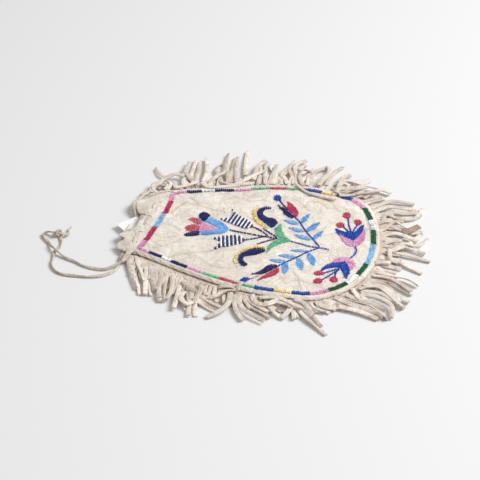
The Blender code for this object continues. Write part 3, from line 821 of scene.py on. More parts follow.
@dataclass
class Studio:
    """Camera, lamps, sky and floor."""

    eye: Point = (394.63, -1065.65, 751.12)
    back: Point = (0.23133, -0.79509, 0.56064)
    lens: float = 105.0
    sky: float = 0.46
    lamp_power: float = 70.0
    lamp_size: float = 1.3
    lamp_at: Point = (1950.0, 550.0, 2100.0)
    floor_size: float = 8.0

    def build(self) -> None:
        """Set up the whole studio."""
        self.place_camera()
        self.light()
        self.lay_floor()

    def place_camera(self) -> None:
        """Stand the camera where the photograph was taken from."""
        data = bpy.data.cameras.new("camera")
        data.lens = self.lens
        data.sensor_width = 36.0
        camera = bpy.data.objects.new("camera", data)
        bpy.context.scene.collection.objects.link(camera)
        camera.location = world(*self.eye)
        camera.rotation_mode = "QUATERNION"
        camera.rotation_quaternion = Vector(self.back).to_track_quat("Z", "Y")
        bpy.context.scene.camera = camera

    def light(self) -> None:
        """Add one big soft lamp and an even sky."""
        data = bpy.data.lights.new("soft_lamp", "AREA")
        data.size = self.lamp_size
        data.energy = self.lamp_power
        lamp = bpy.data.objects.new("soft_lamp", data)
        bpy.context.scene.collection.objects.link(lamp)
        lamp.location = world(*self.lamp_at)
        toward = -(world(*self.lamp_at) - world(100, 0, 0))
        lamp.rotation_mode = "QUATERNION"
        lamp.rotation_quaternion = toward.to_track_quat("-Z", "Y")
        sky = bpy.data.worlds.new("studio_sky")
        sky.use_nodes = True
        shade = sky.node_tree.nodes["Background"]
        shade.inputs["Color"].default_value = (1.0, 1.0, 1.0, 1.0)
        shade.inputs["Strength"].default_value = self.sky
        bpy.context.scene.world = sky
        bpy.context.scene.view_settings.view_transform = "Standard"

    def lay_floor(self) -> None:
        """Lay the studio paper that the bag lies on."""
        deselect()
        bpy.ops.mesh.primitive_plane_add(size=self.floor_size)
        floor = bpy.context.object
        floor.name = "studio_floor"
        floor.data.materials.append(FloorFinish().make())


@dataclass
class Thong:
    """The drawstring: a flat twisted thong laced round the mouth, with two loose strands."""

    wide: float = 3.0
    thick: float = 1.7
    laced_wide: float = 4.2
    laced_thick: float = 0.8
    measure: float = 2.4
    finish: HideFinish = HideFinish("hide_thong", srgb(228, 216, 202), srgb(212, 197, 181),
                                    srgb(150, 126, 106), soil=0.35, edge=0.0)
    laced_finish: HideFinish = HideFinish("hide_thong_laced", srgb(246, 238, 228),
                                          srgb(236, 225, 212), srgb(168, 142, 122), soil=0.3,
                                          edge=0.0)
    strand_a: Sequence[Point] = (
        (-7, -64.8, 2.7), (-7.6, -69, 3.8), (-10, -73.5, 4.4), (-14.5, -78.5, 3.2),
        (-24, -85, 1.4), (-41, -84, 1.4), (-56, -79, 1.4), (-67, -75, 2.2), (-76.5, -70, 4.4),
        (-83, -64, 3.0), (-87.5, -59, 1.5), (-93, -53.5, 1.4), (-98, -49, 1.4),
        (-99, -44.5, 1.6), (-95.5, -42.3, 2.8), (-91, -43.4, 4.2), (-86, -44, 4.6),
        (-80, -44, 4.6), (-75.5, -42.5, 3.8), (-76, -36.5, 2.0), (-78.5, -32, 1.4),
        (-78, -27, 1.4))
    strand_b: Sequence[Point] = (
        (-13, -64.8, 2.7), (-12.6, -69, 1.8), (-11, -75, 1.4), (-12, -83, 1.4),
        (-19, -93, 1.4), (-32, -99, 1.4), (-46, -101.5, 1.4), (-61, -100.5, 1.4),
        (-71, -92, 1.4), (-75, -80, 1.4), (-77, -70, 1.4), (-75.5, -62, 1.4),
        (-77, -54, 1.4), (-80, -48.5, 1.4))

    def build(self) -> None:
        """Build the two strands and the laced part."""
        mat = self.finish.make()
        route_a = smooth_line(self.strand_a, 4)
        turns = [(-81.5 - 0.48 * i, -44 + 3.1 * math.cos(math.radians(-90 + 36 * i)),
                  4.6 + 3.1 * math.sin(math.radians(-90 + 36 * i))) for i in range(11)]
        route_b = (smooth_line(self.strand_b, 4) + turns
                   + [(-87.6, -41.6, 1.7), (-88.4, -38.6, 1.4)])
        self.strand("thong_strand_a", route_a, "drawstring_strand_a", mat)
        self.strand("thong_strand_b", route_b, "drawstring_strand_b", mat)
        self.laced(self.laced_finish.make())

    def rod_along(self, name: str, route: Sequence[Point], rings: int, wide: float,
                  thick: float, turns: float) -> bpy.types.Object:
        """Lay one thong along a route.

        Args:
            name: The piece's name.
            route: The points that its middle follows, in millimetres.
            rings: How many pieces it is cut into.
            wide: Its width.
            thick: Its thickness.
            turns: How many full twists it has along its length.

        Returns:
            The thong.
        """
        rod = model_rod(10, rings)
        places = lay_rod(rod, route, lambda f: wide * (1 + 0.09 * np.sin(31 * f + 1)), thick,
                         lambda f: 2 * math.pi * turns * f + 0.5 * np.sin(19 * f))
        places[:, 2] = np.maximum(places[:, 2], 0.06)
        count = len(rod.corners)
        thong = rod.repeated(name, [places], {"rim": [np.zeros(count)],
                                              "tint": [np.full(count, 0.5)]})
        soften(thong, 50)
        return thong

    def strand(self, name: str, route: Sequence[Point], node: str,
               mat: bpy.types.Material) -> None:
        length = sum(math.dist(a, b) for a, b in zip(route, route[1:]))
        thong = self.rod_along(name, route, round(length / 1.6), self.wide, self.thick,
                               length / 70)
        dress(thong, mat, "hide_thong", node)
        LOG.info("%s is %.0f mm long", name, length)

    def laced(self, mat: bpy.types.Material) -> None:
        """Lace the thong through the slits of both panels."""
        rise = PLAN.HIDE / 2 + 0.25 + self.laced_thick / 2
        marks = [y + d for y in PLAN.SLITS for d in (-PLAN.SLIT_RUN, 0, PLAN.SLIT_RUN)]
        out = [self.outside(y) for y in marks]
        xs = np.full(len(marks), PLAN.FRONT_LACE_X)
        tops = PLAN.front_top(xs, np.array(marks)) - PLAN.HIDE / 2
        lows = PLAN.back_bottom(xs - 6, np.array(marks)) + PLAN.HIDE / 2
        front = [(PLAN.FRONT_LACE_X, y, z + rise * o) for y, z, o in zip(marks, tops, out)]
        back = [(PLAN.BACK_LACE_X, y, z - rise * o) for y, z, o in zip(marks, lows, out)]
        start = [(-8.4, -69.8, 4.3), (-7.4, -65.5, 5.9), (-6.0, -60, 7.7), (-5.0, -55.5, 7.9),
                 (-5.4, -51.5, 6.2)]
        turn = [(-6.2, 35, 6.8), (-6.8, 39, 6.4), (-8.2, 42, 6.0), (-10, 43.4, 5.8),
                (-11.8, 42, 5.7), (-12.8, 39, 5.7), (-13, 35, 5.8)]
        stop = [(-13, -51, 4.4), (-13, -56, 3.6), (-13, -61, 2.9), (-12.9, -66, 2.6)]
        route = smooth_line(start + front + turn + back[::-1] + stop, 2)
        thong = self.rod_along("thong_laced", route, 170, self.laced_wide, self.laced_thick, 0)
        dress(thong, mat, "hide_thong", "drawstring_laced")

    @staticmethod
    def outside(y: float) -> float:
        """Say which side of a panel the thong is on: 1 outside, -1 inside."""
        side = -1.0
        for enter, leave in zip(PLAN.SLITS[::2], PLAN.SLITS[1::2]):
            side += 2 * (ease((y - enter) / PLAN.SLIT_RUN / 2 + 0.5)
                         - ease((y - leave) / PLAN.SLIT_RUN / 2 + 0.5))
        return side


@dataclass
class Panels:
    """The two hide panels, sewn round the sides and the foot."""

    corner_t: float = 0.26
    along: int = 200
    across: int = 150
    creases: Sequence[tuple[float, Sequence[Point]]] = (
        (1.0, ((30, -58), (48, -48), (65.4, -40), (80, -29), (92, -17))),
        (2.2, ((10.5, 13), (12.5, 21), (16, 32), (20, 37))),
        (1.2, ((16, 33), (24, 34), (42, 31), (62, 27))),
        (1.0, ((19.5, 46), (26, 40), (32, 34))),
        (0.8, ((5, -44), (12, -48), (27, -38), (37, -25))),
        (0.7, ((8, -28), (17, -30), (28, -24), (36, -12))),
        (0.8, ((8.6, -9), (19, -9), (30, -14.5))),
        (1.0, ((117, 71), (128, 64.5), (138, 53))),
        (1.1, ((128, 80), (142, 81), (156, 75), (166, 61))),
        (0.9, ((134, 70), (146, 71), (155, 63))),
        (0.8, ((60, 60), (76, 54), (88, 58))),
        (0.8, ((60, -52), (72, -60), (88, -62), (98, -56))),
        (0.8, ((168, 70), (178, 62), (184, 50))),
        (0.8, ((150, -52), (163, -62), (176, -60))))
    crease_deep: float = 0.5
    crease_wide: float = 1.15
    front_finish: HideFinish = HideFinish(
        "hide_front", srgb(250, 245, 235), srgb(242, 235, 223), srgb(186, 159, 137), soil=0.2,
        edge=0.5, spots=(Spot((-14, -6, 9.5), 5.5, 0.35), Spot((-15, -17, 9), 3.4, 0.6),
                           Spot((75, -46, 9), 1.6, 0.5)))
    back_finish: HideFinish = HideFinish(
        "hide_back", srgb(244, 236, 225), srgb(234, 222, 208), srgb(168, 142, 122), soil=0.3,
        edge=0.5)

    def build(self) -> bpy.types.Object:
        """Build both panels and give the front one, on which the beads are sewn."""
        front = self.panel("front_hide", PLAN.FRONT_MOUTH, self.front_height,
                           ((-4, -58), (-16, -44), (-19, -14), (-18, 14), (-14, 38), (-3, 53)))
        give_wall(front, PLAN.HIDE, -1.0)
        self.cut_slits(front, PLAN.FRONT_LACE_X, 10.0)
        self.close(front, PLAN.FRONT_MOUTH)
        dress(front, self.front_finish.make(), "hide_front", "front_panel")
        back = self.panel("back_hide", PLAN.BACK_MOUTH, self.back_height,
                          ((-5, -57.5), (-19, -44), (-24, -14), (-26, 14), (-21, 38), (-8, 54)))
        give_wall(back, PLAN.HIDE, 1.0)
        self.cut_slits(back, PLAN.BACK_LACE_X, 2.0)
        self.close(back, PLAN.BACK_MOUTH)
        dress(back, self.back_finish.make(), "hide_back", "back_panel")
        return front

    def panel(self, name: str, mouth: Sequence[Point],
              height: Callable[[np.ndarray, np.ndarray], np.ndarray],
              plain_mouth: Sequence[Point]) -> bpy.types.Object:
        """Lay one panel as an open sheet.

        Args:
            name: The panel's name.
            mouth: Its scalloped mouth edge, near side to far side.
            height: Gives its heights.
            plain_mouth: The mouth edge without its scallops.

        Returns:
            The sheet.
        """
        c = self.corner_t
        parts = [i / 60 for i in range(61)]
        near = Line([mouth[0]] + [PLAN.edge_at(1 - (1 - c) * u) for u in parts])
        far = Line([mouth[-1]] + [PLAN.edge_at(-1 + (1 - c) * u) for u in parts])
        foot = Line([PLAN.edge_at(c - 2 * c * u) for u in parts])
        cut = Line(smooth_line(mouth, 6))
        plain = Line(smooth_line(plain_mouth, 8))

        def place(u: np.ndarray, v: np.ndarray) -> np.ndarray:
            """Blend the four sides, with the scallops fading out inside the mouth."""
            u, v = u[:, None], v[:, None]
            m, f = plain.at(v[:, 0]), foot.at(v[:, 0])
            a, b = near.at(u[:, 0]), far.at(u[:, 0])
            flat = ((1 - u) * m + u * f + (1 - v) * a + v * b
                    - (1 - u) * (1 - v) * plain.points[0] - (1 - u) * v * plain.points[-1]
                    - u * (1 - v) * foot.points[0] - u * v * foot.points[-1])
            flat += (cut.at(v[:, 0]) - m) * ease_all(1 - u * 9.5)
            x, y = flat[:, 0], flat[:, 1]
            return np.stack([x, y, height(x, y)], axis=-1)

        return grid_sheet(name, self.along, self.across, place)

    def front_height(self, x: np.ndarray, y: np.ndarray) -> np.ndarray:
        """Height of the front panel's outer face, with its wrinkles and drooping tabs."""
        top = PLAN.front_top(x, y)
        edge = distance_to(PLAN.side_line, x, y)
        free = 0.25 + 0.75 * ease_all(edge / 14)
        calm = 1 - 0.75 * np.exp(-((x - PLAN.FRONT_LACE_X) / 4.5) ** 2)
        wave = 0.7 * rough(x, y, 34, 1.7) + 0.42 * rough(x, y, 15, 5.1)
        wave += 0.24 * rough(x, y, 6.5, 9.4)
        ridge = 1 - np.abs(rough(x, y, 21, 3.3)) * 5
        wave -= 0.45 * ease_all(ridge)
        wave -= self.crease_deep * self.folded(x, y)
        tab = ease_all((PLAN.FRONT_LACE_X - 3 - x) / 15)
        droop = tab * (2.6 + 1.6 * np.sin(0.21 * y + 0.6))
        pucker = 0.28 * np.exp(-edge / 4) * np.sin(1.1 * (x + y) + 0.02 * x * y / 10)
        border = 1.0 * np.exp(-((edge - 3.1) / 1.8) ** 2)
        return top + wave * free * calm - droop + pucker + border

    def folded(self, x: np.ndarray, y: np.ndarray) -> np.ndarray:
        """Say how much a place on the front panel lies in one of its creases."""
        depth = np.zeros(x.shape)
        for strength, points in self.creases:
            away = distance_to(smooth_line(points, 6), x, y)
            depth = np.maximum(depth, strength * np.exp(-(away / self.crease_wide) ** 2))
        return depth

    def back_height(self, x: np.ndarray, y: np.ndarray) -> np.ndarray:
        """Height of the back panel's under face."""
        low = PLAN.back_bottom(x, y)
        lift = 0.3 * (1 + rough(x, y, 22, 8.2)) * ease_all((-16 - x) / 6)
        curl = 1.8 * ease_all((-20 - x) / 8) * (1 + np.sin(0.16 * y - 1.3))
        lobe = 1.2 * ease_all((-18 - x) / 6) * np.exp(-((y - 24) / 10) ** 2)
        return np.maximum(low + lift + curl + lobe, 0.06)

    def cut_slits(self, panel: bpy.types.Object, at_x: float, at_z: float) -> None:
        """Cut the slits that the thong runs through."""
        deselect()
        made = []
        for y in PLAN.SLITS:
            bpy.ops.mesh.primitive_cylinder_add(vertices=10, radius=1.0, depth=0.03)
            slit = bpy.context.object
            slit.scale = (0.0025, 0.0016, 1.0)
            slit.location = world(at_x, y, at_z)
            made.append(slit)
        deselect()
        for slit in made:
            slit.select_set(True)
        bpy.context.view_layer.objects.active = made[0]
        bpy.ops.object.join()
        cutter = bpy.context.object
        pick(panel)
        bpy.ops.object.modifier_add(type="BOOLEAN")
        panel.modifiers[-1].operation = "DIFFERENCE"
        panel.modifiers[-1].solver = "EXACT"
        panel.modifiers[-1].object = cutter
        apply_all(panel)
        bpy.data.objects.remove(cutter, do_unlink=True)

    def close(self, panel: bpy.types.Object, mouth: Sequence[Point]) -> None:
        """Mark a panel's raw edges, and on the front panel its creases as painted shade, for its finish,
        and shade it.
        """
        places = drawing_of(panel)
        x, y = places[:, 0], places[:, 1]
        edge = np.minimum(distance_to(PLAN.side_line[1:-2], x, y),
                          distance_to(smooth_line(mouth, 4), x, y))
        # Raw edges are darkened with the hide's own edge colour.
        rim = ease_all(1 - edge / 2.2)
        # Painted shade: the front panel's creases are darkened along their troughs.
        if panel.name == "front_hide":
            rim = np.maximum(rim, 0.8 * np.minimum(self.folded(x, y), 1.2))
        mark(panel, "rim", rim)
        mark(panel, "tint", np.full(len(x), 0.6))
        soften(panel, 40)


@dataclass
class Fringe:
    """Hide cut into strips, held in the seam round the sides and the foot."""

    welt_in: float = 5.0
    uncut: Sequence[Point] = ((-1.0, 2.0), (-0.4, 1.6), (0.4, 1.6), (0.6, 3.0), (0.74, 4.0),
                              (0.82, 9.5), (1.0, 9.5))
    pitch: float = 5.2
    wide: float = 4.8
    thick: float = 1.5
    slim: float = 0.68
    levels: tuple[float, ...] = (0.85, 2.4, 1.6, 3.2)
    longs: Sequence[Point] = ((-1.0, 22), (-0.5, 25), (-0.25, 24), (0.0, 22), (0.25, 22),
                              (0.5, 20), (0.75, 22), (0.97, 26), (1.0, 14))
    headings: Sequence[Point] = (
        (-1.0, 128), (-0.9, 104), (-0.6, 92), (-0.5, 76), (-0.42, 52),
        (-0.34, 46), (-0.26, 22), (-0.16, 10), (-0.02, -2), (0.08, -16), (0.16, -28),
        (0.25, -24), (0.36, -12), (0.44, -30), (0.55, -46), (0.62, -60), (0.72, -76),
        (0.82, -82), (0.9, -74), (1.0, -66))
    sections: Sequence[tuple[str, float, float]] = (
        ("far", -1.0, -0.352), ("foot", -0.349, 0.349), ("near", 0.352, 0.975))
    finish: HideFinish = HideFinish("hide_fringe", srgb(250, 242, 232), srgb(240, 228, 214),
                                    srgb(158, 126, 104), soil=0.3, edge=0.5)
    flesh_finish: HideFinish = HideFinish("hide_flesh_side", srgb(190, 164, 146),
                                          srgb(176, 148, 130), srgb(134, 106, 88), soil=0.3,
                                          edge=0.3)
    rod: Pattern = field(init=False)

    def build(self) -> None:
        """Build the three lengths of fringe and the strip that shows its flesh side."""
        self.rod = model_rod(10, 16)
        mat = self.finish.make()
        for number, (side, start, stop) in enumerate(self.sections):
            self.section(side, start, stop, random.Random(number), mat)
        turned: tuple[list, list, list] = ([], [], [])
        self.add_strip(smooth_line(FLESH_STRIP, 3), random.Random(7), 1.5, turned)
        self.strips("fringe_strip_flesh_side", turned, "foot", self.flesh_finish.make())

    def section(self, side: str, start: float, stop: float, loose: random.Random,
                mat: bpy.types.Material) -> None:
        """Build one length of fringe and its welt.

        Args:
            side: Which side of the bag it is on.
            start: Where along the seam it begins.
            stop: Where it ends.
            loose: Draws for its short strips and for the wear of all of them.
            mat: Its material.
        """
        count = int((stop - start) * PLAN.lane.length / 2 * 1.1 / self.pitch)
        made: tuple[list, list, list] = ([], [], [])
        for k in range(count):
            t = start + (stop - start) * (k + 0.5) / count
            path = self.short_path(t, self.levels[k % len(self.levels)], loose)
            self.add_strip(path, loose, 0.85, made)
        for path in TRACED_STRIPS[side]:
            self.add_strip(smooth_line(path, 3), loose, 1.0, made)
        for path in SLIM_STRIPS[side]:
            self.add_strip(smooth_line(path, 3), loose, self.slim, made)
        self.strips("fringe_strips_" + side, made, side, mat)
        self.welt(side, start, stop, mat)

    def strips(self, name: str, made: tuple[list, list, list], side: str,
               mat: bpy.types.Material) -> None:
        """Put strips together into one piece."""
        piece = self.rod.repeated(name, made[0], {"rim": made[1], "tint": made[2]})
        soften(piece, 50)
        dress(piece, mat, "hide_fringe", "fringe_" + side)

    def add_strip(self, path: Sequence[Point], loose: random.Random, share: float,
                  made: tuple[list, list, list]) -> None:
        """Bend one strip along its path and mark it for its finish."""
        turn = loose.choice((0, 0, 0, 0.3, -0.3, 0.8, -0.8))
        lean = loose.uniform(-0.2, 0.2)
        wide = self.wide * share * loose.uniform(0.86, 1.12)
        places = lay_rod(self.rod, path, lambda f: wide * (1 - 0.1 * f), self.thick,
                         lambda f: lean + turn * np.clip(f * 1.3 - 0.2, 0, 1), 0.5)
        places[:, 2] = np.maximum(places[:, 2], 0.08)
        part = self.rod.corners[:, 2]
        side = np.abs(self.rod.corners[:, 0])
        made[0].append(places)
        # Darker sides: partly the raw cut edges' own colour, partly painted shade between strips. Darker
        # roots: painted shade under the seam. Darker tips: the raw cut ends.
        made[1].append(ease_all((side - 0.8) * 5) * 0.3 + ease_all(1 - part / 0.15) * 0.2
                       + ease_all((part - 0.97) / 0.03) * 0.4)
        made[2].append(np.full(len(part), loose.uniform(0.1, 1.0)))

    def short_path(self, t: float, level: float, loose: random.Random) -> list[Point]:
        """Find the middle line of one of the short strips that lie under the long ones.

        Args:
            t: Where the strip is along the seam.
            level: The height at which it lies.
            loose: Draws for its length and its curls.

        Returns:
            The points of the line, in millimetres.
        """
        root = PLAN.edge_at(t, read_table(self.uncut, t) - 1.0)
        away = PLAN.edge_at(t, read_table(self.uncut, t))
        nx, ny = away[0] - root[0], away[1] - root[1]
        heading = math.radians(read_table(self.headings, t) + loose.uniform(-9, 9))
        long = read_table(self.longs, t) * loose.uniform(0.75, 1.1)
        bend = (root[0] + nx * 0.45 * long, root[1] + ny * 0.45 * long)
        tip = (root[0] + nx * 6 + (long - 6) * math.cos(heading),
               root[1] + ny * 6 + (long - 6) * math.sin(heading))
        sway, beat = loose.uniform(-2.5, 2.5), loose.uniform(2.2, 4.4)
        path = []
        for i in range(9):
            u = i / 8
            x, y = (((1 - u) ** 2 * root[j] + 2 * u * (1 - u) * bend[j] + u * u * tip[j])
                    for j in (0, 1))
            z = PLAN.WELT_MID + (level - PLAN.WELT_MID) * ease(u / 0.4)
            off = sway * u * math.sin(beat * u)
            path.append((x - ny * off, y + nx * off, z))
        return path

    def welt(self, side: str, start: float, stop: float, mat: bpy.types.Material) -> None:
        """Lay the uncut band that is held in the seam."""
        def place(u: np.ndarray, v: np.ndarray) -> np.ndarray:
            """Follow the sewn edge, a little rippled outside it."""
            marks = start + (stop - start) * u
            flat = np.array([
                PLAN.edge_at(t, -self.welt_in + (self.welt_in + read_table(self.uncut, t)) * b)
                for t, b in zip(marks, v)])
            ripple = 0.25 * np.sin(flat[:, 0] * 0.9 + flat[:, 1] * 0.7) * np.clip(v - 0.4, 0, 1)
            return np.column_stack([flat, PLAN.WELT_MID + ripple + 0 * u])

        band = grid_sheet("welt_" + side, 110, 5, place)
        give_wall(band, PLAN.FRINGE_THICK, 0.0)
        count = len(band.data.vertices)
        mark(band, "rim", np.full(count, 0.15))
        mark(band, "tint", np.full(count, 0.6))
        soften(band, 50)
        dress(band, mat, "hide_fringe", "fringe_" + side)


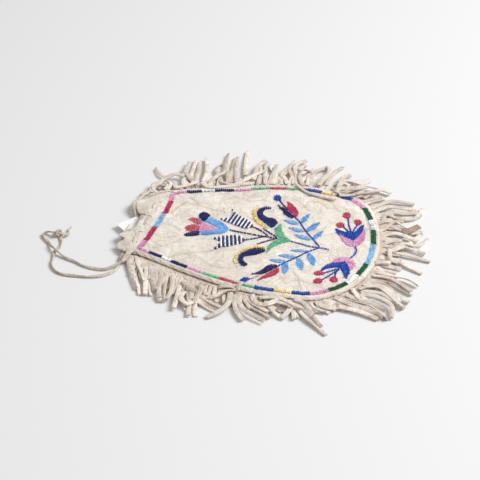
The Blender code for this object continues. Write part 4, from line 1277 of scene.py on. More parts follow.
FLESH_STRIP: list[Point] = [(233, 48, 5.5), (239, 53, 5.5), (246, 64, 4.5)]
TRACED_STRIPS: dict[str, list[list[Point]]] = {
    "near": [
        [(-7, -57, 3.5), (-3, -69, 3.5), (7, -89, 3), (17, -106, 2.5)],
        [(-4, -58, 3.5), (2, -74, 2.5), (12, -91, 1.5), (23, -112, 1)],
        [(0, -58, 3.5), (8, -73, 4.5), (15, -84, 4.5), (21, -95, 4)],
        [(12, -61, 3.5), (17, -76, 3.5), (22, -93, 3), (28, -112, 2.5)],
        [(19, -67, 3.5), (22, -77, 4), (28, -91, 4.5), (35, -105, 4)],
        [(22, -80, 3.5), (29, -101, 1.5), (33, -111, 1)],
        [(23, -67, 3.5), (28, -82, 3.5), (35, -97, 3), (44, -118, 2.5)],
        [(29, -71, 3.5), (33, -81, 4), (37, -99, 4.5), (42, -115, 4)],
        [(33, -69, 3.5), (38, -81, 3.5), (41, -96, 3), (47, -117, 2.5)],
        [(38, -70, 3.5), (44, -82, 4), (49, -98, 5), (50, -109, 4), (49, -115, 4)],
        [(44, -72, 3.5), (49, -83, 3.5), (51, -97, 3), (51, -106, 2.5)],
        [(50, -75, 3.5), (54, -89, 4), (57, -106, 5), (60, -126, 4)],
        [(56, -88, 6.5), (64, -95, 7.5), (73, -101, 6.5)],
        [(73, -87, 6), (76, -96, 6), (75, -106, 5.5), (75, -116, 4.5)],
        [(74, -109, 3.5), (77, -118, 1.5), (81, -129, 1)],
        [(61, -99, 3.5), (61, -111, 5), (67, -117, 5.5), (71, -119, 5.5), (73, -114, 5.5)],
        [(58, -78, 3.5), (63, -94, 3.5), (70, -112, 3), (75, -131, 2.5)],
        [(60, -105, 3.5), (66, -116, 1.5), (70, -123, 1)],
        [(55, -79, 3.5), (58, -89, 2), (62, -103, 1)],
        [(62, -79, 3.5), (67, -95, 5), (71, -109, 4)],
        [(67, -81, 3.5), (71, -91, 3), (74, -106, 2.5)],
        [(73, -100, 3.5), (83, -105, 4), (91, -110, 4), (101, -113, 3.5)],
        [(75, -103, 3.5), (87, -111, 2.5), (100, -114, 2)],
        [(75, -108, 3.5), (86, -113, 1.5), (96, -118, 1)],
        [(87, -105, 6.5), (92, -101, 7), (96, -95, 7.5), (101, -90, 7), (107, -89, 6.5)],
        [(90, -86, 5.5), (96, -85, 6.5), (103, -86, 7), (107, -89, 7)],
        [(109, -78, 9), (108, -85, 9.5), (108, -90, 7.5)],
        [(102, -90, 5.5), (104, -99, 5.5), (105, -109, 6), (102, -118, 5.5), (96, -124, 3.5),
         (91, -128, 2)],
        [(105, -87, 3.5), (108, -99, 3.5), (114, -113, 3), (123, -124, 2.5)],
        [(110, -87, 3.5), (113, -100, 4), (119, -110, 4.5), (130, -117, 4.5), (142, -122, 4)],
        [(114, -87, 3.5), (118, -98, 3.5), (128, -105, 3), (137, -109, 3), (145, -114, 2.5)],
        [(117, -91, 3.5), (127, -101, 4.5), (135, -105, 4.5), (142, -108, 4)],
        [(122, -89, 5.5), (126, -98, 6), (134, -102, 6), (140, -99, 6.5), (147, -92, 6.5),
         (154, -92, 6.5)],
        [(130, -92, 6), (138, -90, 6.5), (148, -90, 7.5), (157, -93, 7), (164, -96, 7),
         (170, -97, 6.5)],
        [(148, -95, 6.5), (155, -97, 7), (161, -99, 6)],
        [(160, -98, 5.5), (158, -106, 4), (155, -112, 2.5)],
        [(139, -99, 3.5), (147, -106, 3), (155, -111, 1.5)],
        [(141, -90, 3.5), (148, -95, 1.5), (155, -101, 1)],
        [(159, -89, 3.5), (164, -103, 3), (166, -110, 2.5)],
        [(157, -88, 3.5), (166, -99, 1.5), (169, -106, 1)],
        [(160, -85, 5.5), (169, -88, 5.5), (179, -100, 5), (186, -109, 4), (192, -115, 3)],
        [(166, -96, 3.5), (176, -106, 3), (187, -114, 2.5), (198, -123, 1)],
        [(165, -88, 3.5), (179, -103, 4), (188, -111, 2.5)],
        [(170, -80, 3.5), (174, -85, 3), (177, -93, 2.5)],
        [(181, -81, 3.5), (185, -85, 3.5), (193, -87, 4), (201, -82, 3.5)],
        [(183, -76, 3.5), (190, -83, 5), (195, -81, 5.5), (200, -83, 5)],
        [(190, -73, 3.5), (201, -82, 3.5), (212, -83, 3.5), (224, -85, 3), (237, -89, 2)],
        [(194, -72, 5.5), (207, -77, 5), (222, -80, 4.5), (235, -83, 4), (240, -88, 3.5)],
    ],
    "foot": [
        [(197, -67, 3.5), (212, -70, 3.5), (228, -73, 3), (245, -87, 2)],
        [(203, -66, 5.5), (213, -69, 5), (229, -72, 4.5), (241, -77, 3.5)],
        [(206, -56, 6), (211, -63, 6.5), (216, -69, 5.5), (222, -64, 3)],
        [(214, -64, 3.5), (218, -59, 4), (232, -62, 6), (243, -67, 5), (247, -74, 4.5),
         (248, -85, 3)],
        [(214, -55, 3.5), (223, -53, 4), (234, -55, 5), (244, -60, 4), (256, -67, 2)],
        [(212, -54, 5.5), (219, -48, 5.5), (229, -47, 6), (238, -53, 5.5), (248, -62, 4.5),
         (256, -68, 4)],
        [(213, -41, 3.5), (227, -37, 4), (236, -42, 4.5), (248, -53, 3.5), (259, -57, 2.5)],
        [(215, -48, 5.5), (227, -44, 6), (234, -46, 6), (242, -52, 5), (251, -61, 4)],
        [(217, -33, 3.5), (229, -32, 3.5), (241, -35, 4), (249, -39, 3), (259, -45, 2)],
        [(220, -30, 5.5), (233, -30, 6), (244, -34, 5.5), (258, -43, 4.5)],
        [(220, -21, 3.5), (236, -24, 4), (251, -25, 4), (262, -31, 3)],
        [(216, 5, 3.5), (227, 5, 3), (234, 4, 3), (246, -2, 2.5), (262, -9, 1.5)],
        [(215, 12, 3.5), (229, 15, 3.5), (247, 14, 3), (266, 12, 1.5)],
        [(229, 13, 5.5), (239, 26, 4.5), (248, 25, 3.5), (259, 21, 2.5)],
        [(228, 14, 3.5), (236, 29, 5.5), (248, 28, 5.5), (253, 34, 4.5), (257, 45, 4)],
        [(227, 16, 6), (229, 4, 7), (232, -6, 6)],
        [(218, -11, 6.5), (225, -8, 7), (232, -6, 6)],
        [(212, 19, 3.5), (221, 27, 4.5), (227, 33, 4), (235, 35, 3.5)],
        [(209, 32, 3.5), (219, 42, 4), (228, 45, 5), (240, 43, 4), (249, 40, 3)],
        [(208, 37, 3.5), (220, 36, 3), (235, 29, 2.5), (243, 37, 2), (250, 57, 1.5)],
        [(207, 40, 5.5), (215, 49, 5.5), (222, 63, 6), (231, 58, 5.5), (241, 54, 4.5)],
        [(205, 52, 3.5), (216, 58, 3.5), (228, 55, 3.5), (240, 52, 3), (250, 57, 3)],
        [(204, 58, 3.5), (211, 60, 5.5), (209, 79, 4)],
        [(200, 71, 3.5), (212, 78, 3), (222, 74, 3), (234, 76, 2.5), (241, 84, 2.5),
         (243, 100, 2)],
        [(198, 78, 3.5), (207, 86, 4.5), (214, 90, 5), (226, 91, 4.5), (238, 93, 3.5)],
        [(201, 68, 3.5), (215, 83, 3.5), (226, 85, 3), (238, 89, 2.5), (244, 85, 2)],
        [(195, 81, 5.5), (205, 95, 4.5), (211, 102, 4), (222, 104, 3.5), (234, 105, 2.5)],
    ],
    "far": [
        [(184, 98, 5.5), (191, 113, 5), (198, 119, 4.5), (208, 116, 4)],
        [(151, 106, 6), (158, 100, 6.5), (168, 106, 7.5), (183, 118, 5.5)],
        [(169, 95, 6.5), (178, 101, 7), (188, 106, 7), (196, 112, 6)],
        [(156, 111, 6), (158, 124, 6), (167, 125, 5.5), (179, 121, 5.5), (193, 120, 4.5),
         (208, 117, 3)],
        [(152, 116, 3.5), (155, 132, 4), (162, 140, 3)],
        [(162, 119, 3.5), (167, 128, 3), (175, 130, 2.5), (182, 137, 2)],
        [(157, 94, 9), (158, 101, 9.5), (165, 105, 9), (174, 110, 8), (181, 117, 7)],
        [(161, 90, 9.5), (170, 92, 9.5), (182, 100, 9), (197, 110, 7)],
        [(142, 113, 3.5), (142, 125, 3.5), (145, 143, 3), (150, 156, 1.5)],
        [(136, 108, 5.5), (137, 121, 5), (140, 137, 4.5), (136, 149, 4)],
        [(128, 109, 3.5), (125, 125, 3.5), (126, 137, 3.5), (131, 145, 2.5), (135, 151, 2)],
        [(121, 104, 5.5), (116, 112, 6), (112, 122, 6.5), (114, 133, 6), (122, 132, 5)],
        [(124, 108, 3.5), (122, 122, 3), (118, 133, 2.5), (121, 144, 1.5)],
        [(113, 108, 3.5), (109, 122, 4.5), (104, 135, 5), (105, 146, 4.5), (111, 155, 3.5)],
        [(110, 106, 3.5), (106, 119, 3.5), (99, 132, 3.5), (98, 144, 2.5), (100, 154, 2)],
        [(109, 134, 3.5), (110, 144, 2.5), (113, 149, 1.5)],
        [(104, 105, 3.5), (99, 114, 4), (94, 120, 4), (95, 134, 3)],
        [(98, 102, 3.5), (95, 117, 3), (97, 131, 2.5), (97, 143, 1.5)],
        [(86, 99, 3.5), (86, 115, 5), (84, 138, 3.5)],
        [(91, 100, 3.5), (88, 120, 2.5), (80, 131, 2), (78, 140, 1.5)],
        [(83, 98, 3.5), (78, 115, 4.5), (72, 142, 3)],
        [(76, 96, 3.5), (73, 114, 3), (69, 135, 2)],
        [(70, 100, 5.5), (68, 116, 6), (67, 128, 5.5), (71, 141, 5)],
        [(59, 109, 3.5), (53, 130, 3), (47, 159, 1.5)],
        [(41, 84, 6.5), (50, 82, 7), (57, 85, 7.5), (62, 93, 8), (68, 106, 7), (75, 120, 6)],
        [(55, 90, 5.5), (51, 101, 5.5), (45, 122, 4.5), (41, 142, 3.5)],
        [(50, 92, 3.5), (44, 108, 3), (37, 140, 1.5)],
        [(46, 91, 3.5), (41, 106, 4), (34, 121, 4), (29, 146, 3)],
        [(32, 74, 5.5), (29, 87, 5.5), (33, 98, 6), (37, 107, 5.5), (35, 122, 4.5)],
        [(39, 89, 3.5), (32, 102, 3), (26, 111, 3), (26, 122, 2), (29, 126, 2)],
        [(32, 73, 6), (22, 82, 5.5), (20, 101, 5), (10, 131, 3)],
        [(18, 77, 3.5), (12, 90, 4), (10, 106, 3), (5, 122, 2)],
        [(12, 80, 3.5), (5, 95, 3), (3, 110, 2.5), (0, 126, 1.5)],
        [(9, 82, 6), (-2, 97, 5.5), (-3, 110, 4.5), (-4, 118, 4)],
        [(5, 71, 3.5), (1, 82, 4.5), (2, 95, 3.5)],
        [(-24, 52, 5.5), (-20, 68, 6), (-15, 80, 6.5), (-9, 88, 6), (0, 87, 5.5)],
        [(-16, 82, 3.5), (-25, 87, 3.5), (-32, 94, 2.5), (-35, 99, 2)],
        [(1, 62, 5.5), (-7, 73, 5), (-12, 78, 4)],
        [(-9, 67, 3.5), (-16, 67, 3.5), (-19, 61, 3)],
        [(-30, 44, 3.5), (-27, 59, 2.5), (-25, 65, 2)],
    ]}
SLIM_STRIPS: dict[str, list[list[Point]]] = {
    "near": [],
    "foot": [],
    "far": [
        [(113, 101, 9), (126, 87, 10.2), (140, 81, 10.8), (152, 79, 11), (160, 79, 11)],
        [(156, 124, 7), (156, 113, 8), (156, 102, 8.5)],
        [(-30, 28, 6), (-28, 39, 6), (-24, 49, 6), (-21, 62, 6), (-19, 74, 5)],
        [(-21, 47, 6.5), (-22, 54, 6.5), (-25, 60, 6), (-25, 65, 6), (-19, 69, 5.5)],
        [(-14, 47, 7), (-21, 52, 7), (-20, 61, 7), (-14, 66, 7), (-9, 62, 7.5), (-10, 54, 7.5)],
        [(-8, 54, 7), (-7, 60, 7), (-8, 68, 7), (-13, 74, 6)],
        [(0, 60, 8), (10, 68, 8), (18, 79, 7)],
        [(22, 77, 8), (29, 70, 8.5), (36, 70, 8.5), (48, 76, 8.5), (61, 81, 8.5)],
        [(42, 82, 8.5), (51, 81, 8.5), (61, 84, 8.5), (72, 92, 7)],
    ]}


@dataclass
class MouthCard:
    """A small bare card tucked in the mouth."""

    long: float = 23.0
    wide: float = 16.0
    thick: float = 0.35
    turn: float = 52.0
    at: Point = (-22.4, -10.8)
    height: float = 4.75

    def build(self) -> None:
        """Build the card with its slight curl."""
        turn = math.radians(self.turn)

        def place(u: np.ndarray, v: np.ndarray) -> np.ndarray:
            """Turn the card and bow it a little."""
            a, b = (u - 0.5) * self.long, (v - 0.5) * self.wide
            x = self.at[0] + a * math.cos(turn) + b * math.sin(turn)
            y = self.at[1] + a * math.sin(turn) - b * math.cos(turn)
            return np.stack([x, y, self.height + 0.9 * (u - 0.5) ** 2], axis=-1)

        card = grid_sheet("bare_card", 14, 8, place)
        give_wall(card, self.thick, 1.0)
        soften(card, 40)
        dress(card, CardFinish().make(), "card", "paper_card")


Bead = tuple[float, float, float, float, float]


@dataclass(frozen=True)
class Band:
    """Rows of beads laid from one side line to the other, from the first end to the last."""

    glass: Glass
    left: tuple[Point, ...]
    right: tuple[Point, ...]
    pitch: float = 2.0
    fill: float = 0.365

    def beads(self) -> list[tuple[Glass, Bead]]:
        """Lay the rows."""
        left, right = Line(smooth_line(self.left, 6)), Line(smooth_line(self.right, 6))
        count = max(2, round((left.length + right.length) / 2 / self.pitch))
        parts = (np.arange(count) + 0.5) / count
        return [(self.glass, bead) for a, b in zip(left.at(parts), right.at(parts))
                for bead in row_of(a, b, self.pitch * self.fill * self.glass.packing)]


@dataclass(frozen=True)
class Area:
    """An area filled with level rows, each other one white when it is striped."""

    glass: Glass
    rim: tuple[Point, ...]
    angle: float
    striped: bool = False
    pitch: float = 2.0
    fill: float = 0.365

    def beads(self) -> list[tuple[Glass, Bead]]:
        """Lay a row wherever a level line crosses the area."""
        turn = math.radians(self.angle)
        along, over = (math.cos(turn), math.sin(turn)), (-math.sin(turn), math.cos(turn))
        flat = [(x * along[0] + y * along[1], x * over[0] + y * over[1]) for x, y in self.rim]
        low, high = min(p[1] for p in flat), max(p[1] for p in flat)
        count = max(1, round((high - low) / self.pitch))
        made = []
        for k in range(count):
            level = low + (k + 0.5) * (high - low) / count
            cuts = sorted(a[0] + (b[0] - a[0]) * (level - a[1]) / (b[1] - a[1])
                          for a, b in zip(flat, flat[1:] + flat[:1])
                          if (a[1] <= level) != (b[1] <= level))
            glass = Glass.WHITE if self.striped and k % 2 else self.glass
            for start, stop in zip(cuts[::2], cuts[1::2]):
                ends = [(s * along[0] + level * over[0], s * along[1] + level * over[1])
                        for s in (start, stop)]
                size = self.pitch * self.fill * glass.packing
                made += [(glass, bead) for bead in row_of(*ends, size)]
        return made


@dataclass(frozen=True)
class Stem:
    """A line of single beads."""

    glass: Glass
    points: tuple[Point, ...]
    step: float = 1.75
    size: float = 0.82

    def beads(self) -> list[tuple[Glass, Bead]]:
        """Lay the beads one after another."""
        track = Track(smooth_line(self.points, 6))
        count = max(2, round(track.length / self.step))
        marks = [(k + 0.5) * track.length / count for k in range(count)]
        return [(self.glass, (*track.at(s, 0.22 * (-1) ** k), track.heading(s), -0.12,
                              self.size)) for k, s in enumerate(marks)]


Stroke = Band | Area | Stem


def row_of(start: Sequence[float], stop: Sequence[float], size: float) -> list[Bead]:
    """Lay one row of beads of a size between two places."""
    long = math.dist(start, stop)
    count = max(1, round(long / BEAD_LONG))
    angle = math.atan2(stop[1] - start[1], stop[0] - start[0])
    return [(start[0] + (stop[0] - start[0]) * (k + 0.5) / count,
             start[1] + (stop[1] - start[1]) * (k + 0.5) / count, angle, 0.0, size)
            for k in range(count)]


def leaf(base: Point, tip: Point, wide: float) -> Band:
    """Describe a slim leaf between two places, widest nearer its base."""
    dx, dy = tip[0] - base[0], tip[1] - base[1]
    long = math.hypot(dx, dy)
    sides = []
    for side in (0.5, -0.5):
        sides.append(tuple((base[0] + dx * u - side * w * wide * dy / long,
                            base[1] + dy * u + side * w * wide * dx / long)
                           for u, w in ((0.0, 0.3), (0.25, 0.86), (0.5, 1.0), (0.78, 0.66),
                                        (1.0, 0.12))))
    return Band(Glass.CORNFLOWER, *sides, 1.9)


def spot(glass: Glass, centre: Point, wide: float, deep: float) -> Area:
    """Describe a round spot by how far it reaches across the view and away from it."""
    rim = []
    for k in range(14):
        a, b = wide * math.cos(math.tau * k / 14), deep * math.sin(math.tau * k / 14)
        rim.append((centre[0] + 0.96 * a - 0.28 * b, centre[1] + 0.28 * a + 0.96 * b))
    return Area(glass, tuple(rim), 100, pitch=1.5, fill=0.47)


SPRAY: dict[str, list[Stroke]] = {
    "tulip_blue_petals": [
        Band(Glass.CORNFLOWER, ((73.8, 1), (67.7, 8.2), (60, 12.5), (49.4, 16)),
             ((67, -1.4), (60.4, 2.5), (53.2, 5.3), (47.2, 7.4))),
        Area(Glass.NAVY, ((38.3, 14.5), (38.7, 19.6), (41.1, 22.3), (44.9, 21.7), (49.1, 18),
                          (48.3, 11), (46.6, 7), (43.4, 8.5), (40, 11.7)), 62),
        Band(Glass.CORNFLOWER, ((73.8, 0.6), (71.1, -6.2), (60.5, -12.5), (48.7, -17.1)),
             ((67, -1.7), (58.4, -5.8), (53, -8.7), (47, -11.2))),
        Band(Glass.NAVY, ((47.6, -11.4), (43.3, -12), (40.2, -13.6), (37.4, -16.2), (35.2, -20)),
             ((48.6, -17.2), (43.9, -19.6), (39.9, -21.2), (37, -21.2), (35.4, -20.8)))],
    "tulip_pink_heart": [
        Band(Glass.PINK, ((65.4, -1.2), (58, 1.6), (51.1, 4), (44, 6.8)),
             ((65.4, -1.8), (59.1, -4.8), (52.8, -7.6), (46, -10.8)), 1.6)],
    "tulip_red_petals": [
        Area(Glass.RED, ((30, 6.2), (33.5, 10.4), (37.3, 11.4), (41.2, 9), (44.6, 6.2),
                         (44.2, 0.6), (38.7, 1.8), (34.2, 4.8)), 97, pitch=1.6),
        Area(Glass.RED, ((32, -8.6), (32.7, -3.8), (36.1, -1), (40.3, 0), (44, -0.4),
                         (45.2, -5.7), (46.2, -11.2), (42.7, -12.6), (37.3, -13), (33.8, -11.2)),
             97, pitch=1.6)],
    "striped_leaves_and_stems": [
        Area(Glass.NAVY, ((94.1, 13.3), (88, 20.4), (80.8, 23.4), (75.5, 25.6), (69.4, 31),
                          (65.8, 36.4), (69.2, 27.3), (69, 20.1), (65.3, 17.4), (60.6, 15),
                          (66.7, 12.1), (72.4, 10.8), (79.2, 8.6), (86, 6.8), (92.1, 7.2)),
             85, True, 1.95),
        Area(Glass.NAVY, ((93.3, -14.4), (88.7, -7.2), (81.3, -8), (74.4, -10.6), (68.5, -14),
                          (62.6, -19.1), (67.8, -20.6), (72, -21), (71.8, -27.3),
                          (68.3, -37.4), (72.4, -33.6), (76.7, -29), (81.9, -26.1),
                          (87.6, -22.5), (91.7, -18.2)), 108, True, 1.95),
        Stem(Glass.NAVY, ((93.1, 11.6), (100.9, 8.4), (107.3, 4.7), (112.3, 0))),
        Stem(Glass.NAVY, ((92.9, -12.9), (101, -8.1), (107.2, -3.3), (111.6, -1.6))),
        Stem(Glass.NAVY, ((74.8, -0.1), (87.5, -1.1), (102.2, -1.6), (112.9, -1.9),
                          (123, -1.9))),
        Stem(Glass.NAVY, ((104.8, 10.9), (112.2, 6.1), (117.6, 2.9), (122, -1))),
        Stem(Glass.NAVY, ((106.6, -16.1), (112.7, -9.7), (119.8, -3.6), (122.6, -2.6)))],
    "calyx_green": [
        Band(Glass.GREEN, ((119, 23.6), (117, 20), (116, 12.8), (117.8, 7.6), (121.1, 3.7),
                           (123.8, 0.7), (122.2, -3.8), (119.2, -9.4), (117.4, -16.7),
                           (118.6, -27.4)),
             ((119.8, 23.4), (121.6, 17.1), (125, 9.8), (128.8, 4.1), (132.6, 0.9),
              (135.9, -2.7), (132.7, -5), (128.3, -8.5), (124.5, -13.6), (121.5, -18.9),
              (119.4, -27.2)))],
    "hook_far": [
        Band(Glass.NAVY, ((102.9, 48.6), (99, 49), (94.7, 46.7), (92.2, 42.9), (91.7, 36.7),
                          (93.2, 31.2), (96.8, 26.6), (101.5, 22.3), (105.4, 19), (109.2, 17),
                          (112.2, 14.4)),
             ((103.3, 46.6), (99.4, 44.8), (97.1, 42.2), (96.6, 38), (98.3, 33.7),
              (101.8, 31.2), (106, 29), (109.4, 30.6), (112.6, 28.5), (115.6, 23.7),
              (114.2, 17))),
        Band(Glass.YELLOW, ((91.7, 45.8), (88.2, 43.4), (86.4, 38.1), (88.2, 31.2),
                            (91.7, 23.7), (97.2, 18.1), (103.8, 13.7), (110.6, 12)),
             ((91.9, 45), (91, 42.3), (90.8, 37.9), (92, 32.3), (95.2, 26.8), (100, 21.8),
              (105, 17.4), (110.4, 13)))],
    "hook_near": [
        Band(Glass.NAVY, ((116.6, -23), (112.3, -21.4), (108.1, -22.6), (103.1, -26),
                          (99.1, -30.5), (96, -35.3), (95.4, -41.6), (97.4, -47.7),
                          (101.6, -53), (104.8, -53.4), (106.6, -51)),
             ((116.6, -25.7), (113.6, -29.3), (109.6, -33.5), (104.3, -36), (100.7, -38.4),
              (100.2, -42.9), (101.6, -46.2), (104.1, -48), (106.9, -49.7))),
        Band(Glass.YELLOW, ((115.2, -19.2), (112.4, -16.4), (107, -18.4), (100.4, -22.6),
                            (95.4, -28.9), (92.4, -36.5), (91.6, -44), (93.4, -50.2),
                            (95.8, -53.2)),
             ((114.6, -20.2), (109.3, -21.6), (104.7, -24.2), (99.1, -28.8), (95.9, -33.5),
              (94.8, -39.8), (95.5, -45.4), (97.6, -52)))],
    "leaf_sprigs": [
        Stem(Glass.BLUE, ((129.1, 38.6), (135.9, 31.8), (145.5, 17.9), (156, 5.9),
                          (164.2, -4))),
        Stem(Glass.BLUE, ((134, -46.6), (139.1, -38.6), (147.3, -27.8), (155.4, -15.6),
                          (164.4, -6.2))),
        Stem(Glass.BLUE, ((135.6, -2.8), (145, -4), (152.9, -5.7), (158.9, -6), (164.9, -5.6),
                          (169, -5.7), (173.9, -6))),
        leaf((137.8, 30.6), (141.6, 48.4), 5.2), leaf((146.7, 18), (154.9, 36.9), 6.4),
        leaf((155.9, 7.2), (161.4, 22.8), 5.6), leaf((135.8, 28.4), (120.1, 30.8), 6.2),
        leaf((144, 17.2), (128.4, 19.5), 5.6), leaf((153.4, 5.3), (136, 9.7), 6),
        leaf((156, -14), (139.3, -16.9), 4.6), leaf((147.6, -26.4), (130.7, -28), 6.2),
        leaf((140.6, -36.4), (124.1, -37.7), 6), leaf((157.4, -16.4), (167, -35.4), 6.8),
        leaf((150.2, -27.4), (157.4, -45.2), 7), leaf((140.6, -37), (143.6, -55.4), 6.6)],
    "bud_sepal_far": [
        Band(Glass.NAVY, ((107.6, 54.8), (111.3, 52.7), (115.6, 51), (119.5, 47.8),
                          (123.8, 43.3), (129.3, 39.2)),
             ((108, 54.2), (111.1, 50), (115.2, 46.2), (118.6, 40.7), (123.8, 37.2),
              (128, 35.9))),
        Stem(Glass.NAVY, ((106.8, 64), (110.2, 60), (114, 55.4), (118.6, 50.6))),
        spot(Glass.BLUE, (104.1, 67.2), 3.7, 5.2)],
    "bud_sepal_near": [
        Band(Glass.NAVY, ((133.6, -44.6), (130.4, -44.2), (126.2, -46.2), (123.8, -50.7),
                          (121.1, -56.6), (118.7, -60.5), (114.9, -64.3)),
             ((135.1, -46.3), (132, -50.5), (128.9, -55.3), (124.6, -60.9), (120, -63),
              (115.1, -64.7))),
        Stem(Glass.NAVY, ((115.7, -72.1), (118, -68.5), (122, -64.4)), 2.2, 0.45),
        Area(Glass.BLUE, ((107.3, -76.4), (108.7, -72.4), (112.1, -70.1), (116, -72.1),
                          (113.6, -76), (110.5, -78.6)), 60)],
    "bud_petal_far": [
        Band(Glass.RED, ((115.3, 64.4), (119.1, 61.5), (123.6, 57.7), (129.1, 51.3),
                         (130.9, 45.1), (130.9, 39.6)),
             ((115.5, 63.6), (116.9, 57.1), (118.6, 50.5), (121.5, 47), (126.3, 42),
              (129.6, 39.8)))],
    "bud_petal_near": [
        Band(Glass.RED, ((137, -49.2), (134.9, -47.8), (131.8, -52.5), (128.3, -58.6),
                         (125, -65.2), (122.7, -72.3)),
             ((138, -53.1), (135.9, -58.8), (132.6, -63), (129, -65.8), (125.5, -69),
              (122.9, -72.7)))],
    "flower_pink_far": [
        Band(Glass.PINK, ((176.5, 22), (181.9, 14.9), (186.4, 7.9), (192.2, 4.3), (196.8, 5.6),
                          (200.7, 11.3), (203, 19.4), (202, 26.4), (199.8, 37.2)),
             ((177, 22.4), (182.1, 19), (187, 16.6), (193, 15), (195, 20), (197, 27),
              (198.2, 33), (199.4, 37.2)), 1.6)],
    "flower_pink_near": [
        Band(Glass.PINK, ((180.8, -30.2), (182, -24.4), (184.3, -17.5), (189.6, -14.2),
                          (195.5, -14.2), (200.2, -17.4), (203.8, -22.6), (202.8, -28.9),
                          (200.7, -33.4)),
             ((181.4, -29.6), (184.4, -25.6), (189.6, -23.2), (192.2, -21.6), (195.8, -24.8),
              (198.2, -29), (200.1, -33.2)), 1.6)],
    "flower_blue_far": [
        Band(Glass.BLUE, ((171.8, 29.3), (175, 23.5), (178.7, 20.3), (184, 19.1),
                          (189.6, 16.2), (193.3, 14.8), (195.1, 21.4), (197.1, 28.4),
                          (197.9, 37.6), (196.7, 43.8)),
             ((172.2, 29.7), (177, 28.1), (182.8, 26.9), (188.1, 27.7), (191.4, 30),
              (193.7, 38), (196.1, 43.6))),
        Stem(Glass.BLUE, ((179.4, 52.6), (181.4, 45), (183.6, 38), (188.1, 27.8))),
        Stem(Glass.BLUE, ((178.2, 35.4), (183.5, 30.2), (186.6, 27.4))),
        Stem(Glass.BLUE, ((191.3, 43.4), (189.7, 34.8), (189.7, 27.4))),
        spot(Glass.RED, (177.4, 55.8), 3.7, 5.2), spot(Glass.RED, (175.1, 37.4), 3.9, 4.8),
        spot(Glass.RED, (190.5, 47), 3.7, 5)],
    "flower_blue_near": [
        Band(Glass.BLUE, ((174.3, -42.5), (175.9, -35.5), (179.3, -29.2), (184.4, -25.2),
                          (189.6, -22.8), (192.2, -21.2), (196, -24.6), (198.9, -30.9),
                          (201, -38.7), (199.9, -47.1)),
             ((174.9, -42.7), (177, -39.7), (180.8, -35.4), (185.9, -32.2), (190.8, -31.6),
              (192.8, -35.3), (196.5, -41.8), (199.5, -47))),
        Stem(Glass.BLUE, ((177, -45), (183.7, -39.4), (190.7, -32.3))),
        Stem(Glass.BLUE, ((179, -55), (185, -45), (190.2, -34.2))),
        Stem(Glass.BLUE, ((189.3, -48), (188.9, -38.8), (190.9, -33.1))),
        spot(Glass.RED, (174, -45.6), 4.6, 3.8), spot(Glass.RED, (176, -57.3), 4.2, 4.2),
        spot(Glass.RED, (189.3, -51.4), 3.7, 4.6)],
    "flower_link": [
        Stem(Glass.BLUE, ((196.8, 4.6), (199, 1.3), (199.1, -6.6), (196, -15)))]}


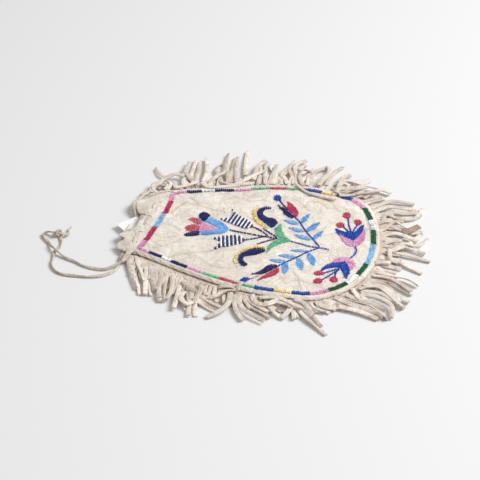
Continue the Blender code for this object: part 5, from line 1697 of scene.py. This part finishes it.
@dataclass
class BeadWork:
    """Glass beads sewn to the front hide in rows: the lane round its edge and the spray."""

    hide: bpy.types.Object
    eye: Point
    bead_size: float = 0.7
    stand: float = 0.62
    slip: float = 0.5
    lane_bead: dict[str, float] = field(
        default_factory=lambda: {"far": 1.28, "near": 1.14, "mouth": 1.24})
    lane_rows_of: dict[str, Sequence[tuple[str, int]]] = field(default_factory=lambda: {
        "far": (("pink", 8), ("navy", 8), ("white", 7), ("navy", 10), ("pink", 10),
                ("green", 9), ("red", 9), ("green", 9), ("blue", 10), ("yellow", 8),
                ("blue", 9), ("pink", 10), ("dark_green", 12), ("white", 9),
                ("dark_green", 13), ("sky", 9)),
        "near": (("pink", 7), ("navy", 8), ("white", 6), ("navy", 10), ("pink", 9),
                 ("green", 10), ("red", 10), ("green", 9), ("blue", 10), ("yellow", 9),
                 ("blue", 9), ("pink", 10), ("dark_green", 11), ("white", 9),
                 ("dark_green", 11), ("sky", 9)),
        "mouth": (("pink", 9), ("red", 14), ("sky", 13), ("red", 12), ("pink", 6))})
    thin_blocks: int = 8
    thin_row: Sequence[Point] = ((-1, 0.0), (0, 0.15), (1, 0.0))
    full_row: Sequence[Point] = ((-1.5, 0.0), (-0.5, 0.2), (0.5, 0.2), (1.5, 0.0))
    mouth_line: Sequence[Point] = ((1.2, 48), (5.0, 30), (6.4, 10), (6.0, -12), (4.2, -33),
                                   (1.6, -51))
    bead: Pattern = field(init=False)
    tree: BVHTree = field(init=False)

    def build(self) -> None:
        """Sew the lane and the spray."""
        self.bead = model_bead()
        self.tree = BVHTree.FromObject(self.hide, bpy.context.evaluated_depsgraph_get())
        self.lane()
        for node, strokes in SPRAY.items():
            fields: dict[Glass, list[Bead]] = {}
            for stroke in strokes:
                for glass, bead in stroke.beads():
                    fields.setdefault(glass, []).append(bead)
            for glass, beads in fields.items():
                self.sew(f"spray_{node}_{glass.name.lower()}", glass, beads, "beads_" + node,
                         self.sighted)

    def lane(self) -> None:
        """Sew the lane, one piece for each length of one colour."""
        mouth = Track(smooth_line(self.mouth_line, 6))
        corners: dict[str, list[Bead]] = {"far": [], "near": []}
        for i, colour, beads in self.lane_blocks("mouth", lambda part: (mouth,
                                                                        part * mouth.length)):
            if i in (0, 4):
                corners["far" if i == 0 else "near"] += beads
            else:
                name = f"mouth_lane_{i}_{colour}"
                self.sew("rows_" + name, Glass[colour.upper()], beads, "beads_" + name,
                         self.under)
        foot: list[Bead] = []
        for side, turn in (("far", -1), ("near", 1)):
            blocks = self.lane_blocks(
                side, lambda part, turn=turn: (PLAN.lane,
                                               PLAN.lane_distance(turn * (1 - part))))
            for i, colour, beads in blocks:
                if i == 0:
                    beads += corners[side]
                if colour == "sky":
                    foot += beads
                    continue
                name = f"{side}_lane_{i:02d}_{colour}" if i else f"{side}_lane_0_{colour}"
                self.sew("rows_" + name, Glass[colour.upper()], beads, "beads_" + name,
                         self.under)
        self.sew("rows_foot_lane_sky", Glass.SKY, foot, "beads_foot_lane_sky", self.under)

    def lane_blocks(self, side: str, find: Callable[[float], tuple[Track, float]]) -> list[
            tuple[int, str, list[Bead]]]:
        """Lay the rows of one side of the lane, colour by colour.

        Args:
            side: Which side of the bag it is on.
            find: Gives the track, and the distance along it, for a fraction of the side.

        Returns:
            For each colour in turn its number, its name and its beads.
        """
        blocks = self.lane_rows_of[side]
        rows = sum(count for _, count in blocks)
        made = []
        done = 0
        for i, (colour, count) in enumerate(blocks):
            beads: list[Bead] = []
            size = self.bead_size * Glass[colour.upper()].packing
            for k in range(count):
                track, s = find((done + k + 0.5) / rows)
                angle = track.heading(s) + math.pi / 2
                thin = side == "near" and i < self.thin_blocks
                for place, rise in self.thin_row if thin else self.full_row:
                    x, y = track.at(s, place * self.lane_bead[side])
                    beads.append((x, y, angle, rise, size))
            done += count
            made.append((i, colour, beads))
        return made

    def under(self, x: float, y: float) -> tuple[Vector, Vector]:
        """Find the hide straight below a place on the plan."""
        return self.tree.ray_cast(world(x, y, 40), Vector((0, 0, -1)))[:2]

    def sighted(self, x: float, y: float) -> tuple[Vector, Vector]:
        """Find the hide that is seen past a place sketched at one height."""
        eye = world(*self.eye)
        way = (world(0.99 * x + 1.0, y - 1.3, SKETCH_LEVEL) - eye).normalized()
        return self.tree.ray_cast(eye, way)[:2]

    def sew(self, name: str, glass: Glass, beads: Sequence[Bead], node: str,
            find: Callable[[float, float], tuple[Vector, Vector]]) -> None:
        """Sew beads to the hide as one piece.

        Args:
            name: The piece's name.
            glass: The beads' colour.
            beads: Each bead's place on the plan, direction, rise and size.
            node: The CAD node that the piece stands for.
            find: Gives the hide's place and normal for a place on the plan.
        """
        shake = random.Random(name)
        copies, tones_with_painted_light = [], []
        # Painted light and shade on each bead: its top lighter, its flanks darker.
        flank, top = np.abs(self.bead.corners[:, 0]), self.bead.corners[:, 1]
        painted_top_light = np.clip(0.5 + 0.6 * top - 0.55 * flank, 0, 1)
        row = slip = 0.0
        before, last = None, (0.0, 0.0)
        for x, y, angle, rise, size in beads:
            if angle != before or (x - last[0]) ** 2 + (y - last[1]) ** 2 > 4 * BEAD_LONG ** 2:
                # Each other row darker: painted shade between the rows, with a random tone added.
                row = (0.25 if row > 0.5 else 0.75) + shake.uniform(-0.25, 0.25)
                slip = shake.uniform(-self.slip, self.slip)
            before, last = angle, (x, y)
            x += slip * math.cos(angle)
            y += slip * math.sin(angle)
            x += shake.uniform(-0.07, 0.07)
            y += shake.uniform(-0.07, 0.07)
            angle += shake.uniform(-0.07, 0.07)
            hit, normal = find(x, y)
            if hit is None:
                continue
            along = Vector((math.cos(angle), math.sin(angle), 0))
            along = (along - normal * along.dot(normal)).normalized()
            side = normal.cross(along)
            turn = np.array([side, normal, along])
            size *= shake.uniform(0.95, 1.04)
            scale = np.array([size, size, BEAD_LONG * 0.49])
            middle = np.array(hit) / MM + np.array([ORIGIN_X, ORIGIN_Y, 0])
            middle += np.array(normal) * (self.stand * size / self.bead_size + rise)
            copies.append(middle + self.bead.corners * scale @ turn)
            # The row's painted shade, a random tone for each bead, and the painted light on the bead's
            # top.
            tones_with_painted_light.append(0.26 * row + 0.44 * shake.random() + 0.32 * painted_top_light)
        obj = self.bead.repeated(name, copies, {"tint": tones_with_painted_light})
        soften(obj)
        dress(obj, glass.finish(), glass.value[0], node)


def main() -> None:
    """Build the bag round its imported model."""
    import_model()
    studio = Studio()
    studio.build()
    Thong().build()
    front = Panels().build()
    Fringe().build()
    MouthCard().build()
    BeadWork(front, studio.eye).build()


if __name__ == "__main__":
    main()
